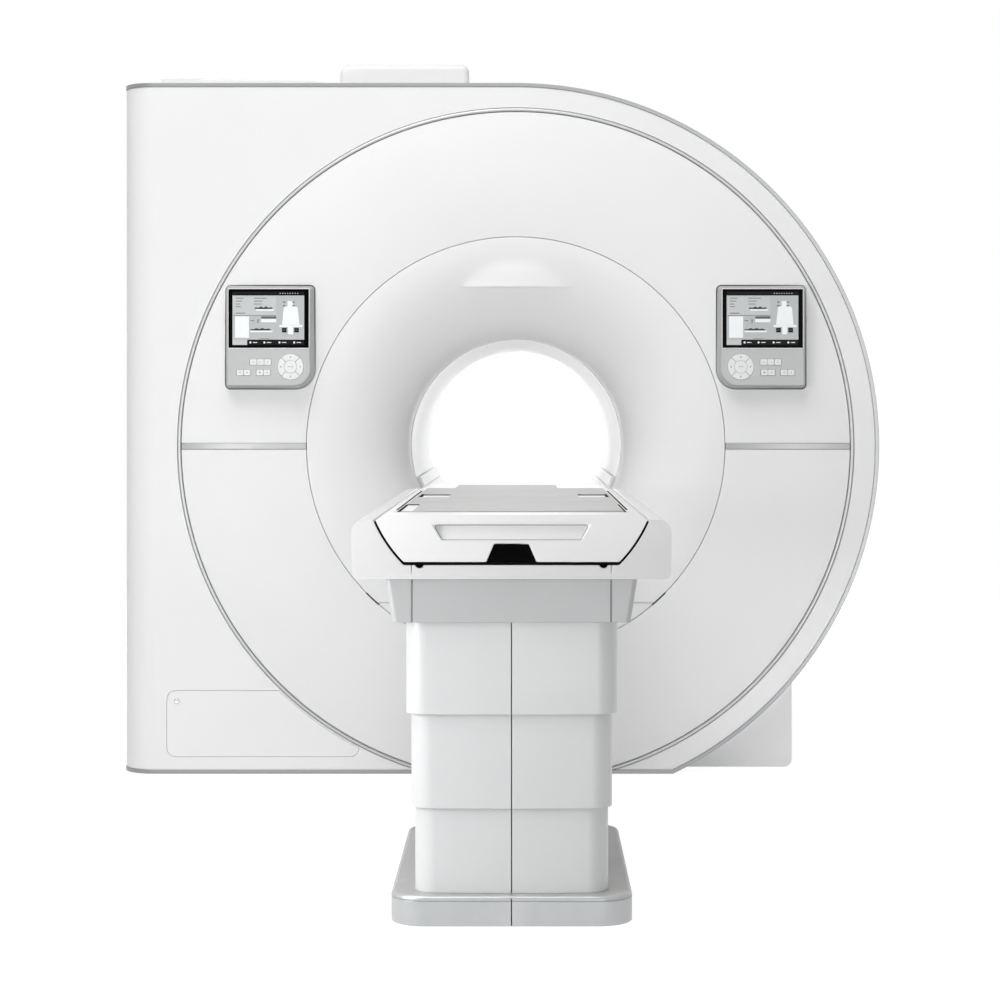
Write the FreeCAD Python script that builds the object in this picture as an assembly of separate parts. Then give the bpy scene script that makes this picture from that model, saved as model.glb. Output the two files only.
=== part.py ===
import FreeCAD, Part
import math
import os

# MRI scanner with its patient table. Millimetres, +Z up.
# X runs to the right as seen by someone facing the bore, Y runs from the table into the bore.
# The origin is on the floor under the middle of the magnet.

Vec = FreeCAD.Vector
X_AXIS = Vec(1, 0, 0)
Y_AXIS = Vec(0, 1, 0)

# ---- clearances ----
fit = 0.3            # running fit between pieces that move
seat_gap = 0.5       # play between a piece and the pocket that it sits in
seam = 1.5           # visible joint between two covers
floor_gap = 2.0      # covers end this far above the floor

# ---- magnet ----
bore_r = 325.0       # patient bore
iso_z = 980.0        # bore axis above the floor
liner_wall = 19.5    # bore tube with its body coil
gradient_wall = 129.5
vessel_wall = 355.0  # radial depth of the magnet vessel
throat_back = 683.0
throat_step = 3.0    # the bell mouths end this much wider than the bore
gradient_half = 600.0
vessel_front = -740.0
vessel_back = 780.0
vessel_edge_r = 40.0
neck_r = 120.0       # cold head neck under the service turret
neck_x = -360.0
neck_root = 50.0     # how far the neck is sunk into the vessel's bore wall
neck_gap = 56.0      # room over the neck in the turret
neck_clear = 20.0    # opening in the barrel cover round the neck

# ---- magnet base ----
base_half_x = 620.0
base_half_y = 600.0
base_plate = 35.0
saddle_y = 480.0     # saddles stand this far before and behind the middle
saddle_depth = 120.0
saddle_top = 300.0
foot_plate = 25.0    # two strips on the floor, anchored at their ends
foot_half_x = 780.0
foot_half_y = 80.0
foot_y = 500.0
anchor_r = 11.0
anchor_x = 720.0

# ---- front slab ----
slab_front = -930.0
slab_depth = 140.0
left_margin = 168.0  # from the disc's recess to the straight left side
arc_margin = 74.0    # from the disc's recess to the big arc
corner_r = 100.0     # upright corner at the front left
slab_wall = 16.0
cover_wall = 8.0     # wall of the covers behind the slab
trim_w = 12.0        # metal band on the slab's edge, seen from the front
trim_reach = 45.0    # how far the band runs back
trim_proud = 2.0
backing = 6.0        # plate behind the disc

# ---- disc ----
disc_r = 998.0       # outer radius of the two disc panels
disc_crown = 14.0    # how far the panels swell
panel_rim = 1.0      # how far their outer edge stands proud
panel_wall = 15.0
ring_w = 10.0        # trim ring round the disc
ring_proud = 4.0
ring_slope = 2.5
strip_half = 9.0     # metal strip between the panels
strip_proud = 1.5

# ---- bell mouth ----
funnel_r = 625.0     # joint between disc and bell mouth
funnel_wall = 12.0
funnel_lip = 30.0    # flange behind the rim of the bell mouth
lower_panel_h = 157.0    # lowest panel of the bell mouth, under a level joint
brow_rise = 151.0    # flat underside of the brow, over the bore
brow_half = 200.0
brow_r = 628.0       # the brow's face is part of an upright cylinder
brow_set_back = 5.0
notch_in = 4.0       # finger notch at each end of the lower seam
notch_out = 5.0
notch_low = 7.0
notch_high = 31.0
notch_depth = 10.0

# ---- service hatch ----
hatch_side = 137.0   # from the slab's left side
hatch_w = 574.0
hatch_low = 52.5
hatch_h = 197.5
hatch_corner = 27.0
hatch_wall = 12.0
hatch_lip = 20.0
hatch_land = 5.0     # land between the hatch and the disc's recess
lock_in = 29.5
lock_down = 32.0
lock_r = 8.0
lock_proud = 1.0
lock_slot = 2.0
lock_stem_r = 5.0
cam_reach = 26.0
cam_w = 12.0
cam_wall = 3.0

# ---- covers behind the slab ----
barrel_space = 114.0     # room over the vessel
barrel_side_gap = 4.0
barrel_wall = 6.0
barrel_corner = 25.0
barrel_flange = 35.0
barrel_mouth_gap = 30.0  # opening in the barrel's front wall, round the vessel
rear_edge = 12.0
rear_wall = 15.0
gantry_back = 930.0
cabinet_in = 99.0    # from the slab's left side
cabinet_w = 535.0
cabinet_ledge = 125.0  # highest strip of its roof, at the left
cabinet_flat = 460.0   # the roof is level up to here
cabinet_step = 4.0
cabinet_slope = 16.0
cabinet_rise = 35.0  # above the slab
cabinet_gap = 5.0    # before the turret
cabinet_edge = 40.0
turret_reach = (219.0, 204.0)  # left and right of the neck
turret_rise = 157.0  # above the slab
turret_half = 250.0
turret_left_r = 36.0
turret_right_r = 26.0

# ---- consoles ----
console_margin = 8.0  # from the console's far corner to the disc's edge
console_rise = 325.0  # its centre above the bore axis
console_w = 268.0
console_h = 310.0
console_taper = 10.0
console_proud = 55.0
console_sink = 2.0
console_corner = 15.0
console_big_corner = 60.0
console_edge = 4.0
screen_w = 238.0
screen_h = 174.0
screen_up = 54.0     # centre of the screen over the centre of the console
screen_wall = 5.0
screen_proud = 0.5
key_proud = 1.5
key_wall = 6.0
key_travel = 1.0
key_w = 20.2
key_h = 17.5
key_pitch = 21.2
pad_x = 65.0         # pad's centre from the console's centre, towards the bore
pad_z = -89.0
pad_r = 38.5
pad_inner_r = 19.5
pad_gap = 1.2        # between the segments of the pad
pad_key_gap = 0.6
key_corner = 2.0
key_rows = ((-24.0, -75.0), (-74.0, -106.0), (-15.5, -106.0))
key_counts = (3, 2, 2)

# ---- patient table ----
column_y = -2560.0
plinth_half_x = 257.0
plinth_half_y = 440.0
plinth_h = 64.0
plinth_corner = 75.0
plinth_edge = 7.0
plinth_well = 10.0
table_bolt_x = 150.0
table_bolt_y = 300.0
table_bolt_r = 7.0
lift_travel = 350.0
column_half = (206.0, 413.0)  # lowest stage
stage_grow = (0.0, 8.0, 18.5)  # what each stage adds all round
column_corner = 45.0
column_wall = 4.0
groove_w = 2.5       # centre seam down the column and the plinth
seam_deep = 1.5
stage_rest = 5.0     # left under the middle stage when the table is down
stage_step = 25.0
stage_overlap = 18.0
stage_cap = 5.0
tube_outer_r = 70.0
tube_wall = 8.0
tube_end_gap = 3.0

pan_h = 92.0         # housing under the frame
pan_half_top = 265.0
pan_half_low = 250.0
pan_front = -3010.0
pan_back = -1120.0
pan_rise = 50.0
pan_rise_y = -2000.0
pan_corner = 12.0
pan_seam_x = 209.0
rail_w = 45.1        # rail beside the cradle
rail_rise = 1.0
rail_round = 28.0
frame_low_round = 12.0
frame_front = -3050.0
frame_back = -1080.0
frame_edge = 9.0     # rounding of the frame's near end
channel_corner = 8.0
channel_wall = 30.0  # floor of the frame under the channel

cradle_clear = 15.5  # from the cradle's side to the wall of the bore
cradle_gap = 4.0     # open gap that shows round the near end
cradle_drop = 123.0  # the cradle's side edge, below the bore axis
cradle_h = 89.0      # side edge above the underside
cradle_gap_low = 6.0
runner_x = (120.0, 150.0)
runner_end = 40.0
rim_w = 30.0         # white rim beside the deck
rim_rise = 11.0      # inner edge of the rim over its outer edge
deck_slot = 9.0
deck_rise = 2.0      # deck over the rim
deck_wall = 20.0
deck_front = -2910.0
deck_back = -1110.0
cradle_back = -1100.0
groove_half = (161.0, 144.5)
groove_up = (78.0, 50.0)   # over the cradle's underside
groove_depth = 12.0
recess_half = (36.0, 52.5)
recess_up = 39.5
recess_depth = 60.0
paddle_gap = 1.6
paddle_wall = 10.0
paddle_flat = 0.1    # flat left between the rounded top edges
paddle_set_back = 4.0
pivot_r = 3.0
pivot_grip = 8.0     # how far the pivot's ends reach past the recess

bridge_gap = 0.5
shoulder_rise = 23.0    # over the cradle's side edge
bridge_set_back = 33.0
tongue_half = 200.0
tongue_wall = 26.0
tongue_gap = 20.0       # from the frame's far end

# ---- sizes that follow ----
slab_back = slab_front + slab_depth
disc_back = slab_front + panel_wall
throat_r = bore_r + throat_step
throat_front = slab_front + funnel_r - throat_r  # the bell mouth is a quarter round
funnel_seat = funnel_r - funnel_lip
lower_seam_z = iso_z - funnel_r + lower_panel_h
brow_z = iso_z + bore_r + brow_rise
brow_front = slab_front + brow_set_back
gradient_in = bore_r + liner_wall + seat_gap
gradient_out = gradient_in + gradient_wall
vessel_in = gradient_out + seat_gap
vessel_out = vessel_in + vessel_wall
ring_in = disc_r + seam
ring_out = ring_in + ring_w
recess_r = ring_out + seam
arc_r = recess_r + arc_margin
slab_left = recess_r + left_margin
slab_top = iso_z + arc_r
panel_low = floor_gap + trim_w + seam
barrel_r = vessel_out + barrel_space + barrel_wall
barrel_half = vessel_out + barrel_side_gap + barrel_wall
hatch_x0 = hatch_side - slab_left
hatch_x1 = hatch_x0 + hatch_w
hatch_z1 = hatch_low + hatch_h
lock_x = hatch_x0 + lock_in
lock_z = hatch_z1 - lock_down
cabinet_left = cabinet_in - slab_left
cabinet_top = slab_top + cabinet_rise
cabinet_back = -turret_half - cabinet_gap
turret_top = slab_top + turret_rise
neck_top = turret_top - turret_left_r - neck_gap
console_z = iso_z + console_rise
console_x = math.sqrt((disc_r - console_margin) ** 2 - (console_rise + console_h / 2) ** 2) - console_w / 2
console_front = slab_front - console_proud
console_seat = slab_front + console_sink
middle_stage_low = plinth_h + lift_travel / 2 + stage_rest
upper_stage_low = middle_stage_low + lift_travel / 2 + stage_step
cradle_r = bore_r - cradle_clear
cradle_edge_z = iso_z - cradle_drop
cradle_low = cradle_edge_z - cradle_h
cradle_edge = math.sqrt(cradle_r ** 2 - cradle_drop ** 2)
channel_r = cradle_r + cradle_gap
channel_floor = cradle_low - cradle_gap_low
frame_half = math.sqrt(channel_r ** 2 - cradle_drop ** 2) + rail_w
frame_top = cradle_edge_z + rail_rise
frame_low = channel_floor - channel_wall
pan_low = frame_low - pan_h
rim_z = cradle_edge_z + rim_rise
deck_z = rim_z + deck_rise
deck_half = cradle_edge - rim_w - deck_slot
recess_top = cradle_low + recess_up
bridge_front = throat_front + bridge_set_back
shoulder_z = cradle_edge_z + shoulder_rise
pivot_y = frame_front + paddle_set_back + paddle_wall / 2
pivot_z = recess_top - paddle_gap - paddle_wall / 2
far = 3000.0         # half size of cutting blocks
cut_over = 1.0       # how far a cut runs past a face
same_point = 1e-6
slack = 0.01         # allowance when edges are picked by their place


# ---- helpers ----
def block(x0, x1, y0, y1, z0, z1):
    return Part.makeBox(x1 - x0, y1 - y0, z1 - z0, Vec(x0, y0, z0))


def upright(x, y, z0, z1, r):
    return Part.makeCylinder(r, z1 - z0, Vec(x, y, z0))


def along_bore(r, y0, y1, x=0.0, z=iso_z):
    return Part.makeCylinder(r, y1 - y0, Vec(x, y0, z), Y_AXIS)


def outline(steps, lift):
    """A closed wire from a start point and steps: lines to a point, or arcs over one point to the next."""
    start = here = lift(*steps[0])
    edges = []
    for step in [*steps[1:], steps[0]]:
        there = lift(*step[-2:])
        if len(step) == 4:
            edges.append(Part.Arc(here, lift(*step[:2]), there).toShape())
        elif (there - here).Length > same_point:
            edges.append(Part.makeLine(here, there))
        here = there
    assert (here - start).Length < same_point
    return Part.Wire(edges)


def front_view(steps, y0, y1):
    """A prism along Y from an outline in X and Z."""
    wire = outline(steps, lambda x, z: Vec(x, y0, z))
    return Part.Face(wire).extrude(Vec(0, y1 - y0, 0))


def side_view(steps, x0, x1):
    """A prism along X from an outline in Y and Z."""
    wire = outline(steps, lambda y, z: Vec(x0, y, z))
    return Part.Face(wire).extrude(Vec(x1 - x0, 0, 0))


def turned(steps):
    """A ring round the bore axis from an outline in radius and Y."""
    wire = outline(steps, lambda r, y: Vec(r, y, iso_z))
    return Part.Face(wire).revolve(Vec(0, 0, iso_z), Y_AXIS, 360)


def corner_point(cx, cz, r, half_turns):
    return cx + r * math.cos(math.pi * half_turns), cz + r * math.sin(math.pi * half_turns)


def rounded(x0, x1, z0, z1, radii):
    """Steps of a rectangle whose corners are rounded, from the low left one anticlockwise."""
    corners = ((x0, z0, 1, 1), (x1, z0, -1, 1), (x1, z1, -1, -1), (x0, z1, 1, -1))
    steps = []
    for number, ((x, z, in_x, in_z), r) in enumerate(zip(corners, radii)):
        cx, cz = x + in_x * r, z + in_z * r
        half_turns = [1 + (2 * number + n) / 4 for n in range(3)]
        before, over, after = (corner_point(cx, cz, r, turn) for turn in half_turns)
        steps.append(before)
        steps.append(over + after)
    return steps


def edges_where(shape, test):
    return [edge for edge in shape.Edges if test(edge.BoundBox)]


def upright_at(x, y):
    """Test for an upright edge at a place in plan."""

    def test(b):
        return abs(b.XMin - x) + abs(b.XMax - x) + abs(b.YMin - y) + abs(b.YMax - y) < slack

    return test


def one(shape):
    """The single solid of a result."""
    solids = shape.Solids
    assert len(solids) == 1, len(solids)
    return solids[0]


# ---- magnet ----
def bore_liner():
    tube = along_bore(bore_r + liner_wall, throat_front, throat_back)
    return tube.cut(along_bore(bore_r, throat_front, throat_back))


def gradient_coil():
    tube = along_bore(gradient_out, -gradient_half, gradient_half)
    return tube.cut(along_bore(gradient_in, -gradient_half, gradient_half))


def cryostat_vessel():
    drum = along_bore(vessel_out, vessel_front, vessel_back)
    drum = drum.makeFillet(vessel_edge_r, edges_where(drum, lambda b: b.YLength < slack))
    drum = drum.fuse(upright(neck_x, 0, iso_z + vessel_in + neck_root, neck_top, neck_r))
    return drum.cut(along_bore(vessel_in, vessel_front, vessel_back)).removeSplitter()


def magnet_base():
    body = block(-base_half_x, base_half_x, -base_half_y, base_half_y, foot_plate, foot_plate + base_plate)
    for side in (-1, 1):
        mid = side * saddle_y
        saddle = block(-base_half_x, base_half_x, mid - saddle_depth / 2, mid + saddle_depth / 2,
                       foot_plate, saddle_top)
        body = body.fuse(saddle)
    body = body.cut(along_bore(vessel_out + fit, -base_half_y - cut_over, base_half_y + cut_over))
    for y in (-foot_y, foot_y):
        body = body.fuse(block(-foot_half_x, foot_half_x, y - foot_half_y, y + foot_half_y, 0, foot_plate))
        for x in (-anchor_x, anchor_x):
            body = body.cut(upright(x, y, -cut_over, foot_plate + cut_over, anchor_r))
    return body.removeSplitter()


# ---- front slab ----
def slab_steps(inset, left):
    """The slab's outline: straight left side, flat floor edge, and the big arc on the right."""
    r = arc_r - inset
    low = floor_gap + inset
    drop = min(iso_z - low, r)
    meet = math.sqrt(r * r - drop * drop)
    over = (math.pi / 2 - math.atan2(drop, meet)) / 2
    return [
        (-left, low),
        (meet, low),
        (meet, iso_z - drop),
        (r * math.cos(over), iso_z + r * math.sin(over), 0.0, iso_z + r),
        (-left, iso_z + r),
    ]


def slab_block(inset, left, y0, y1, round_r):
    body = front_view(slab_steps(inset, left), y0, y1)
    return body.makeFillet(round_r, edges_where(body, upright_at(-left, y0)))


def edge_trim():
    front = slab_front - trim_proud
    band = slab_block(0, slab_left, front, slab_back, corner_r)
    band = band.cut(front_view(slab_steps(trim_w, slab_left + trim_reach),
                               front - cut_over, slab_back + cut_over))
    inner_left = trim_reach - slab_left
    inner = block(inner_left, far, front + trim_reach, far, -far, far)
    corner = edges_where(inner, upright_at(inner_left, front + trim_reach))
    return band.cut(inner.makeFillet(corner_r - trim_reach, corner))


def disc_recess():
    """Round recess that holds the ring and the disc panels, and the hole for the bell mouth."""
    recess = along_bore(recess_r, slab_front - far, disc_back)
    return recess.fuse(along_bore(funnel_seat, slab_front, slab_back))


def hatch_steps(inset):
    return rounded(hatch_x0 + inset, hatch_x1 - inset, hatch_low + inset, hatch_z1 - inset,
                   [hatch_corner - inset] * 4)


def hatch_keep_out(gap):
    return along_bore(recess_r + gap, -far, far)


def front_cover():
    body = slab_block(trim_proud, slab_left - trim_proud, slab_front, slab_back, corner_r)
    hollow = slab_block(trim_proud + slab_wall, slab_left - trim_proud - slab_wall,
                        disc_back + backing, slab_back + cut_over, corner_r - slab_wall)
    body = body.cut(hollow).cut(disc_recess()).cut(edge_trim())
    pocket = front_view(hatch_steps(-seat_gap), slab_front - cut_over, slab_front + hatch_wall)
    pocket = pocket.cut(hatch_keep_out(hatch_land))
    window = front_view(hatch_steps(hatch_lip - seat_gap), slab_front - cut_over, slab_back)
    window = window.cut(hatch_keep_out(hatch_lip))
    return one(body.cut(pocket).cut(window))


def service_hatch():
    panel = front_view(hatch_steps(seat_gap), slab_front, slab_front + hatch_wall)
    panel = panel.cut(hatch_keep_out(hatch_land + seat_gap))
    return panel.cut(along_bore(lock_r + fit, -far, far, lock_x, lock_z))


def hatch_lock():
    cover_back = disc_back + backing
    head = along_bore(lock_r, slab_front - lock_proud, slab_front + hatch_wall, lock_x, lock_z)
    slot = block(lock_x - lock_r, lock_x + lock_r, slab_front - lock_slot, slab_front + lock_slot / 2,
                 lock_z - lock_slot / 2, lock_z + lock_slot / 2)
    stem_end = cover_back + fit + cam_wall
    stem = along_bore(lock_stem_r, slab_front, stem_end, lock_x, lock_z)
    cam = block(lock_x - cam_reach, lock_x, cover_back + fit, stem_end,
                lock_z - cam_w / 2, lock_z + cam_w / 2)
    return head.cut(slot).fuse(stem).fuse(cam).removeSplitter()


# ---- disc ----
def panel_body(proud):
    inner = funnel_r + seam / 2
    mid = (inner + disc_r) / 2
    front = slab_front - proud
    return turned([
        (inner, disc_back),
        (inner, front),
        (mid, front - disc_crown, disc_r, front - panel_rim),
        (disc_r, disc_back),
    ])


def console_steps(side, grow, z_shift=0.0):
    """Outline of a console, with its large corner low and towards the bore."""
    half_w, half_h = console_w / 2 + grow, console_h / 2 + grow
    big, small = console_big_corner + grow, console_corner + grow
    radii = [big, small, small, small] if side > 0 else [small, big, small, small]
    x, z = side * console_x, console_z + z_shift
    return rounded(x - half_w, x + half_w, z - half_h, z + half_h, radii)


def notches():
    ring = turned([
        (funnel_r - notch_in, slab_front - notch_depth),
        (funnel_r + notch_out, slab_front - notch_depth),
        (funnel_r + notch_out, slab_front + notch_depth),
        (funnel_r - notch_in, slab_front + notch_depth),
    ])
    return ring.common(block(-far, far, -far, far, lower_seam_z - notch_low, lower_seam_z + notch_high))


def upper_disc_panel():
    panel = panel_body(0).common(block(-far, far, -far, far, iso_z + strip_half + seat_gap, far))
    for side in (-1, 1):
        panel = panel.cut(front_view(console_steps(side, seat_gap), console_front, console_seat))
    return one(panel)


def lower_disc_panel():
    panel = panel_body(0).common(block(-far, far, -far, far, panel_low, iso_z - strip_half - seat_gap))
    return one(panel.cut(notches()))


def disc_ring():
    ring = turned([
        (ring_in, disc_back),
        (ring_in, slab_front),
        (ring_in + ring_slope, slab_front - ring_proud),
        (ring_out - ring_slope, slab_front - ring_proud),
        (ring_out, slab_front),
        (ring_out, disc_back),
    ])
    return one(ring.common(block(-far, far, -far, far, panel_low, far)))


def disc_strips():
    level = block(-far, far, -far, far, iso_z - strip_half, iso_z + strip_half)
    return Part.makeCompound(panel_body(strip_proud).common(level).Solids)


# ---- bell mouth ----
def bell_steps(wall):
    """Quarter round from the disc into the bore, with a flat flange behind its rim."""
    swing = funnel_r - throat_r
    mid = swing * math.sqrt(0.5)
    rim = funnel_r - seam / 2
    rim_y = throat_front - math.sqrt(swing ** 2 - (funnel_r - rim) ** 2)
    back = swing - wall
    seat_y = throat_front - math.sqrt(back ** 2 - (funnel_r - funnel_seat) ** 2)
    behind = back * math.sqrt(0.5)
    return [
        (throat_r, throat_front),
        (funnel_r - mid, throat_front - mid, rim, rim_y),
        (rim, disc_back),
        (funnel_seat, disc_back),
        (funnel_seat, seat_y),
        (funnel_r - behind, throat_front - behind, throat_r + wall, throat_front),
    ]


def brow():
    """Moulded brow over the bore: a lens of material that stands off the bell mouth."""
    top = iso_z + funnel_r
    face = upright(0, brow_front + brow_r, brow_z, top, brow_r)
    face = face.common(block(-brow_half, brow_half, slab_front, throat_front, brow_z, top))
    root = funnel_wall / 3
    mid = (funnel_r - throat_r - root) * math.sqrt(0.5)
    sunk = turned([
        (throat_r, throat_front),
        (throat_r + root, throat_front),
        (funnel_r - mid, throat_front - mid, funnel_r, slab_front + root),
        (funnel_r + brow_half, slab_front + root),
        (funnel_r + brow_half, throat_front + root),
        (throat_r, throat_front + root),
    ])
    return face.cut(sunk)


def bell_mouth():
    return turned(bell_steps(funnel_wall)).fuse(brow())


def bore_funnel():
    body = bell_mouth().common(block(-far, far, -far, far, lower_seam_z + seam / 2, far))
    return one(body.cut(notches()))


def funnel_lower_panel():
    body = turned(bell_steps(funnel_wall)).common(block(-far, far, -far, far, 0, lower_seam_z - seam / 2))
    return one(body.cut(notches()))


# ---- covers behind the slab ----
def barrel_steps(inset):
    r = barrel_r - inset
    half = barrel_half - inset
    low = floor_gap + inset
    turn = barrel_corner - inset
    leg = math.sqrt(r * r - half * half)
    cut = turn * (1 - math.sqrt(0.5))
    return [
        (-half + turn, low),
        (half - turn, low),
        (half - cut, low + cut, half, low + turn),
        (half, iso_z - leg),
        (r, iso_z, half, iso_z + leg),
        (0.0, iso_z + r, -half, iso_z + leg),
        (-r, iso_z, -half, iso_z - leg),
        (-half, low + turn),
        (-half + cut, low + cut, -half + turn, low),
    ]


def barrel_cover():
    end = gantry_back - rear_wall
    shell = front_view(barrel_steps(0), slab_back, end)
    shell = shell.cut(front_view(barrel_steps(barrel_wall), slab_back + barrel_wall, end + cut_over))
    mouth_r = vessel_out + barrel_mouth_gap
    shell = shell.cut(along_bore(mouth_r, slab_back - cut_over, slab_back + barrel_wall + cut_over))
    open_half = barrel_half - barrel_flange
    shell = shell.cut(block(-open_half, open_half, slab_back + barrel_wall, far, 0, iso_z / 2))
    return one(shell.cut(upright(neck_x, 0, iso_z, far, neck_r + neck_clear)))


def rear_cover():
    plate = front_view(barrel_steps(0), gantry_back - rear_wall, gantry_back)
    plate = plate.makeFillet(rear_edge, edges_where(plate, lambda b: b.YMin > gantry_back - slack))
    return plate.cut(along_bore(rear_r() + seam / 2, 0, far))


def rear_r():
    return throat_r + gantry_back - throat_back


def rear_funnel():
    swing = rear_r() - throat_r
    back = swing - funnel_wall
    half = math.sqrt(0.5)
    return turned([
        (throat_r, throat_back),
        (rear_r() - swing * half, throat_back + swing * half, rear_r(), gantry_back),
        (rear_r(), gantry_back - funnel_wall),
        (rear_r() - back * half, throat_back + back * half, throat_r + funnel_wall, throat_back),
    ])


def side_cabinet():
    left, right = cabinet_left, cabinet_left + cabinet_w
    middle = cabinet_top - cabinet_step
    low = middle - cabinet_slope
    steps = [
        (left, floor_gap),
        (right, floor_gap),
        (right, low),
        (left + cabinet_flat, middle),
        (left + cabinet_ledge, middle),
        (left + cabinet_ledge, cabinet_top),
        (left, cabinet_top),
    ]
    body = front_view(steps, slab_back, cabinet_back)
    body = body.makeFillet(cabinet_edge, edges_where(body, upright_at(cabinet_left, cabinet_back)))
    body = body.cut(block(left + cover_wall, right - cover_wall, slab_back + cover_wall,
                          cabinet_back - cover_wall, -cut_over, low - cover_wall))
    body = body.cut(front_view(barrel_steps(-fit), slab_back - cut_over, cabinet_back + cut_over))
    return one(body.cut(block(-barrel_half, far, -far, far, 0, iso_z)))


def turret_cover():
    left, right = neck_x - turret_reach[0], neck_x + turret_reach[1]
    radii = [turret_right_r, turret_left_r, turret_right_r, turret_left_r]
    body = front_view(rounded(left, right, iso_z, turret_top, radii), -turret_half, turret_half)
    inner = block(left + cover_wall, right - cover_wall, -turret_half + cover_wall,
                  turret_half - cover_wall, iso_z, turret_top - turret_left_r)
    return one(body.cut(inner).cut(along_bore(barrel_r + fit, -far, far)))


# ---- consoles ----
def console_body(side):
    back = outline(console_steps(side, 0), lambda x, z: Vec(x, console_seat, z))
    front = outline(console_steps(side, -console_taper), lambda x, z: Vec(x, console_front, z))
    body = Part.makeLoft([back, front], True, True)
    body = body.makeFillet(console_edge, edges_where(body, lambda b: b.YMax < console_front + slack))
    x = side * console_x
    z = console_z + screen_up
    w, h = screen_w / 2 + seat_gap, screen_h / 2 + seat_gap
    body = body.cut(block(x - w, x + w, console_front - cut_over, console_front + screen_wall,
                          z - h, z + h))
    floor = console_front + key_wall - key_proud + key_travel + seat_gap
    for (shift, up), count in zip(key_rows, key_counts):
        cx = x - side * shift
        half = key_pitch * count / 2 + seat_gap / 2
        tall = key_h / 2 + seat_gap
        body = body.cut(block(cx - half, cx + half, console_front - cut_over, floor,
                              console_z + up - tall, console_z + up + tall))
    pad = along_bore(pad_r + seat_gap, console_front - cut_over, floor, x - side * pad_x, console_z + pad_z)
    return one(body.cut(pad))


def console_screen(side):
    x, z = side * console_x, console_z + screen_up
    return block(x - screen_w / 2, x + screen_w / 2, console_front - screen_proud,
                 console_front + screen_wall, z - screen_h / 2, z + screen_h / 2)


def key_block(x, z):
    front = console_front - key_proud
    steps = rounded(x - key_w / 2, x + key_w / 2, z - key_h / 2, z + key_h / 2, [key_corner] * 4)
    return front_view(steps, front, front + key_wall)


def console_keys(side):
    """The seven small keys, each at its place."""
    keys = []
    for (shift, up), count in zip(key_rows, key_counts):
        cx = side * (console_x - shift)
        for n in range(count):
            keys.append(key_block(cx + (n - (count - 1) / 2) * key_pitch, console_z + up))
    return keys


def pad_keys(side):
    """Four ring segments and the round key in their middle."""
    x, z = side * (console_x - pad_x), console_z + pad_z
    front = console_front - key_proud
    ring = along_bore(pad_r, front, front + key_wall, x, z)
    ring = ring.cut(along_bore(pad_inner_r, front - cut_over, front + key_wall + cut_over, x, z))
    parts = {}
    for number, name in enumerate(("right", "up", "left", "down")):
        cx, cz = corner_point(x, z, pad_gap / math.sqrt(2), number / 2)
        wedge = front_view([
            (cx, cz),
            corner_point(cx, cz, pad_r * 2, (number - 0.5) / 2),
            corner_point(cx, cz, pad_r * 2, (number + 0.5) / 2),
        ], front - cut_over, front + key_wall + cut_over)
        parts[name] = one(ring.common(wedge))
    parts["centre"] = along_bore(pad_inner_r - pad_key_gap, front, front + key_wall, x, z)
    return parts


# ---- table base and column ----
def plan_block(half, corner, z0, z1):
    steps = rounded(-half[0], half[0], column_y - half[1], column_y + half[1], [corner] * 4)
    wire = outline(steps, lambda x, y: Vec(x, y, z0))
    return Part.Face(wire).extrude(Vec(0, 0, z1 - z0))


def table_plinth():
    body = plan_block((plinth_half_x, plinth_half_y), plinth_corner, 0, plinth_h)
    body = body.makeFillet(plinth_edge, edges_where(body, lambda b: b.ZMin > plinth_h - slack))
    body = body.cut(upright(0, column_y, plinth_well, plinth_h + cut_over, tube_outer_r - tube_wall + fit))
    body = body.cut(centre_seams(plinth_half_y, plinth_h))
    for x in (-table_bolt_x, table_bolt_x):
        for y in (column_y - table_bolt_y, column_y + table_bolt_y):
            body = body.cut(upright(x, y, -cut_over, plinth_h + cut_over, table_bolt_r))
    return body


def centre_seams(half_y, top):
    """Shallow upright grooves in the middle of the near and far faces."""
    near = block(-groove_w / 2, groove_w / 2, column_y - half_y - cut_over,
                 column_y - half_y + seam_deep, -cut_over, top + cut_over)
    return near.fuse(near.translated(Vec(0, 2 * half_y - seam_deep + cut_over, 0)))


def stage_cover(stage, z0, z1, cap_hole=0):
    """Sleeve of the column, with a cap that sits on its lift tube where cap_hole is given."""
    half = [size + stage_grow[stage] for size in column_half]
    inner = [size - column_wall for size in half]
    under_cap = z1 - stage_cap if cap_hole else z1 + cut_over
    body = plan_block(half, column_corner, z0, z1)
    body = body.cut(plan_block(inner, column_corner - column_wall, z0 - cut_over, under_cap))
    if cap_hole:
        body = body.cut(upright(0, column_y, z0, z1 + cut_over, cap_hole))
    return body.cut(centre_seams(half[1], z1))


def lift_tube(step, z0, z1):
    """Tubes of the lift, each running inside the one below."""
    outer = tube_outer_r - step * (tube_wall + fit)
    way = upright(0, column_y, z0 - cut_over, z1 + cut_over, outer - tube_wall)
    return upright(0, column_y, z0, z1, outer).cut(way)


def tube_hole(step):
    return tube_outer_r - step * (tube_wall + fit) + fit


def under_housing():
    body = side_view([
        (pan_front, pan_low),
        (pan_rise_y, pan_low),
        (pan_back, pan_low + pan_rise),
        (pan_back, frame_low),
        (pan_front, frame_low),
    ], -frame_half, frame_half)
    section = front_view([
        (-pan_half_low, pan_low),
        (pan_half_low, pan_low),
        (pan_half_top, frame_low),
        (-pan_half_top, frame_low),
    ], pan_front, pan_back)
    body = body.common(section)
    near = edges_where(body, lambda b: b.YMax < pan_front + slack and b.ZLength > pan_h / 2)
    return body.makeFillet(pan_corner, near).cut(front_seams(pan_front, frame_low))


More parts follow.
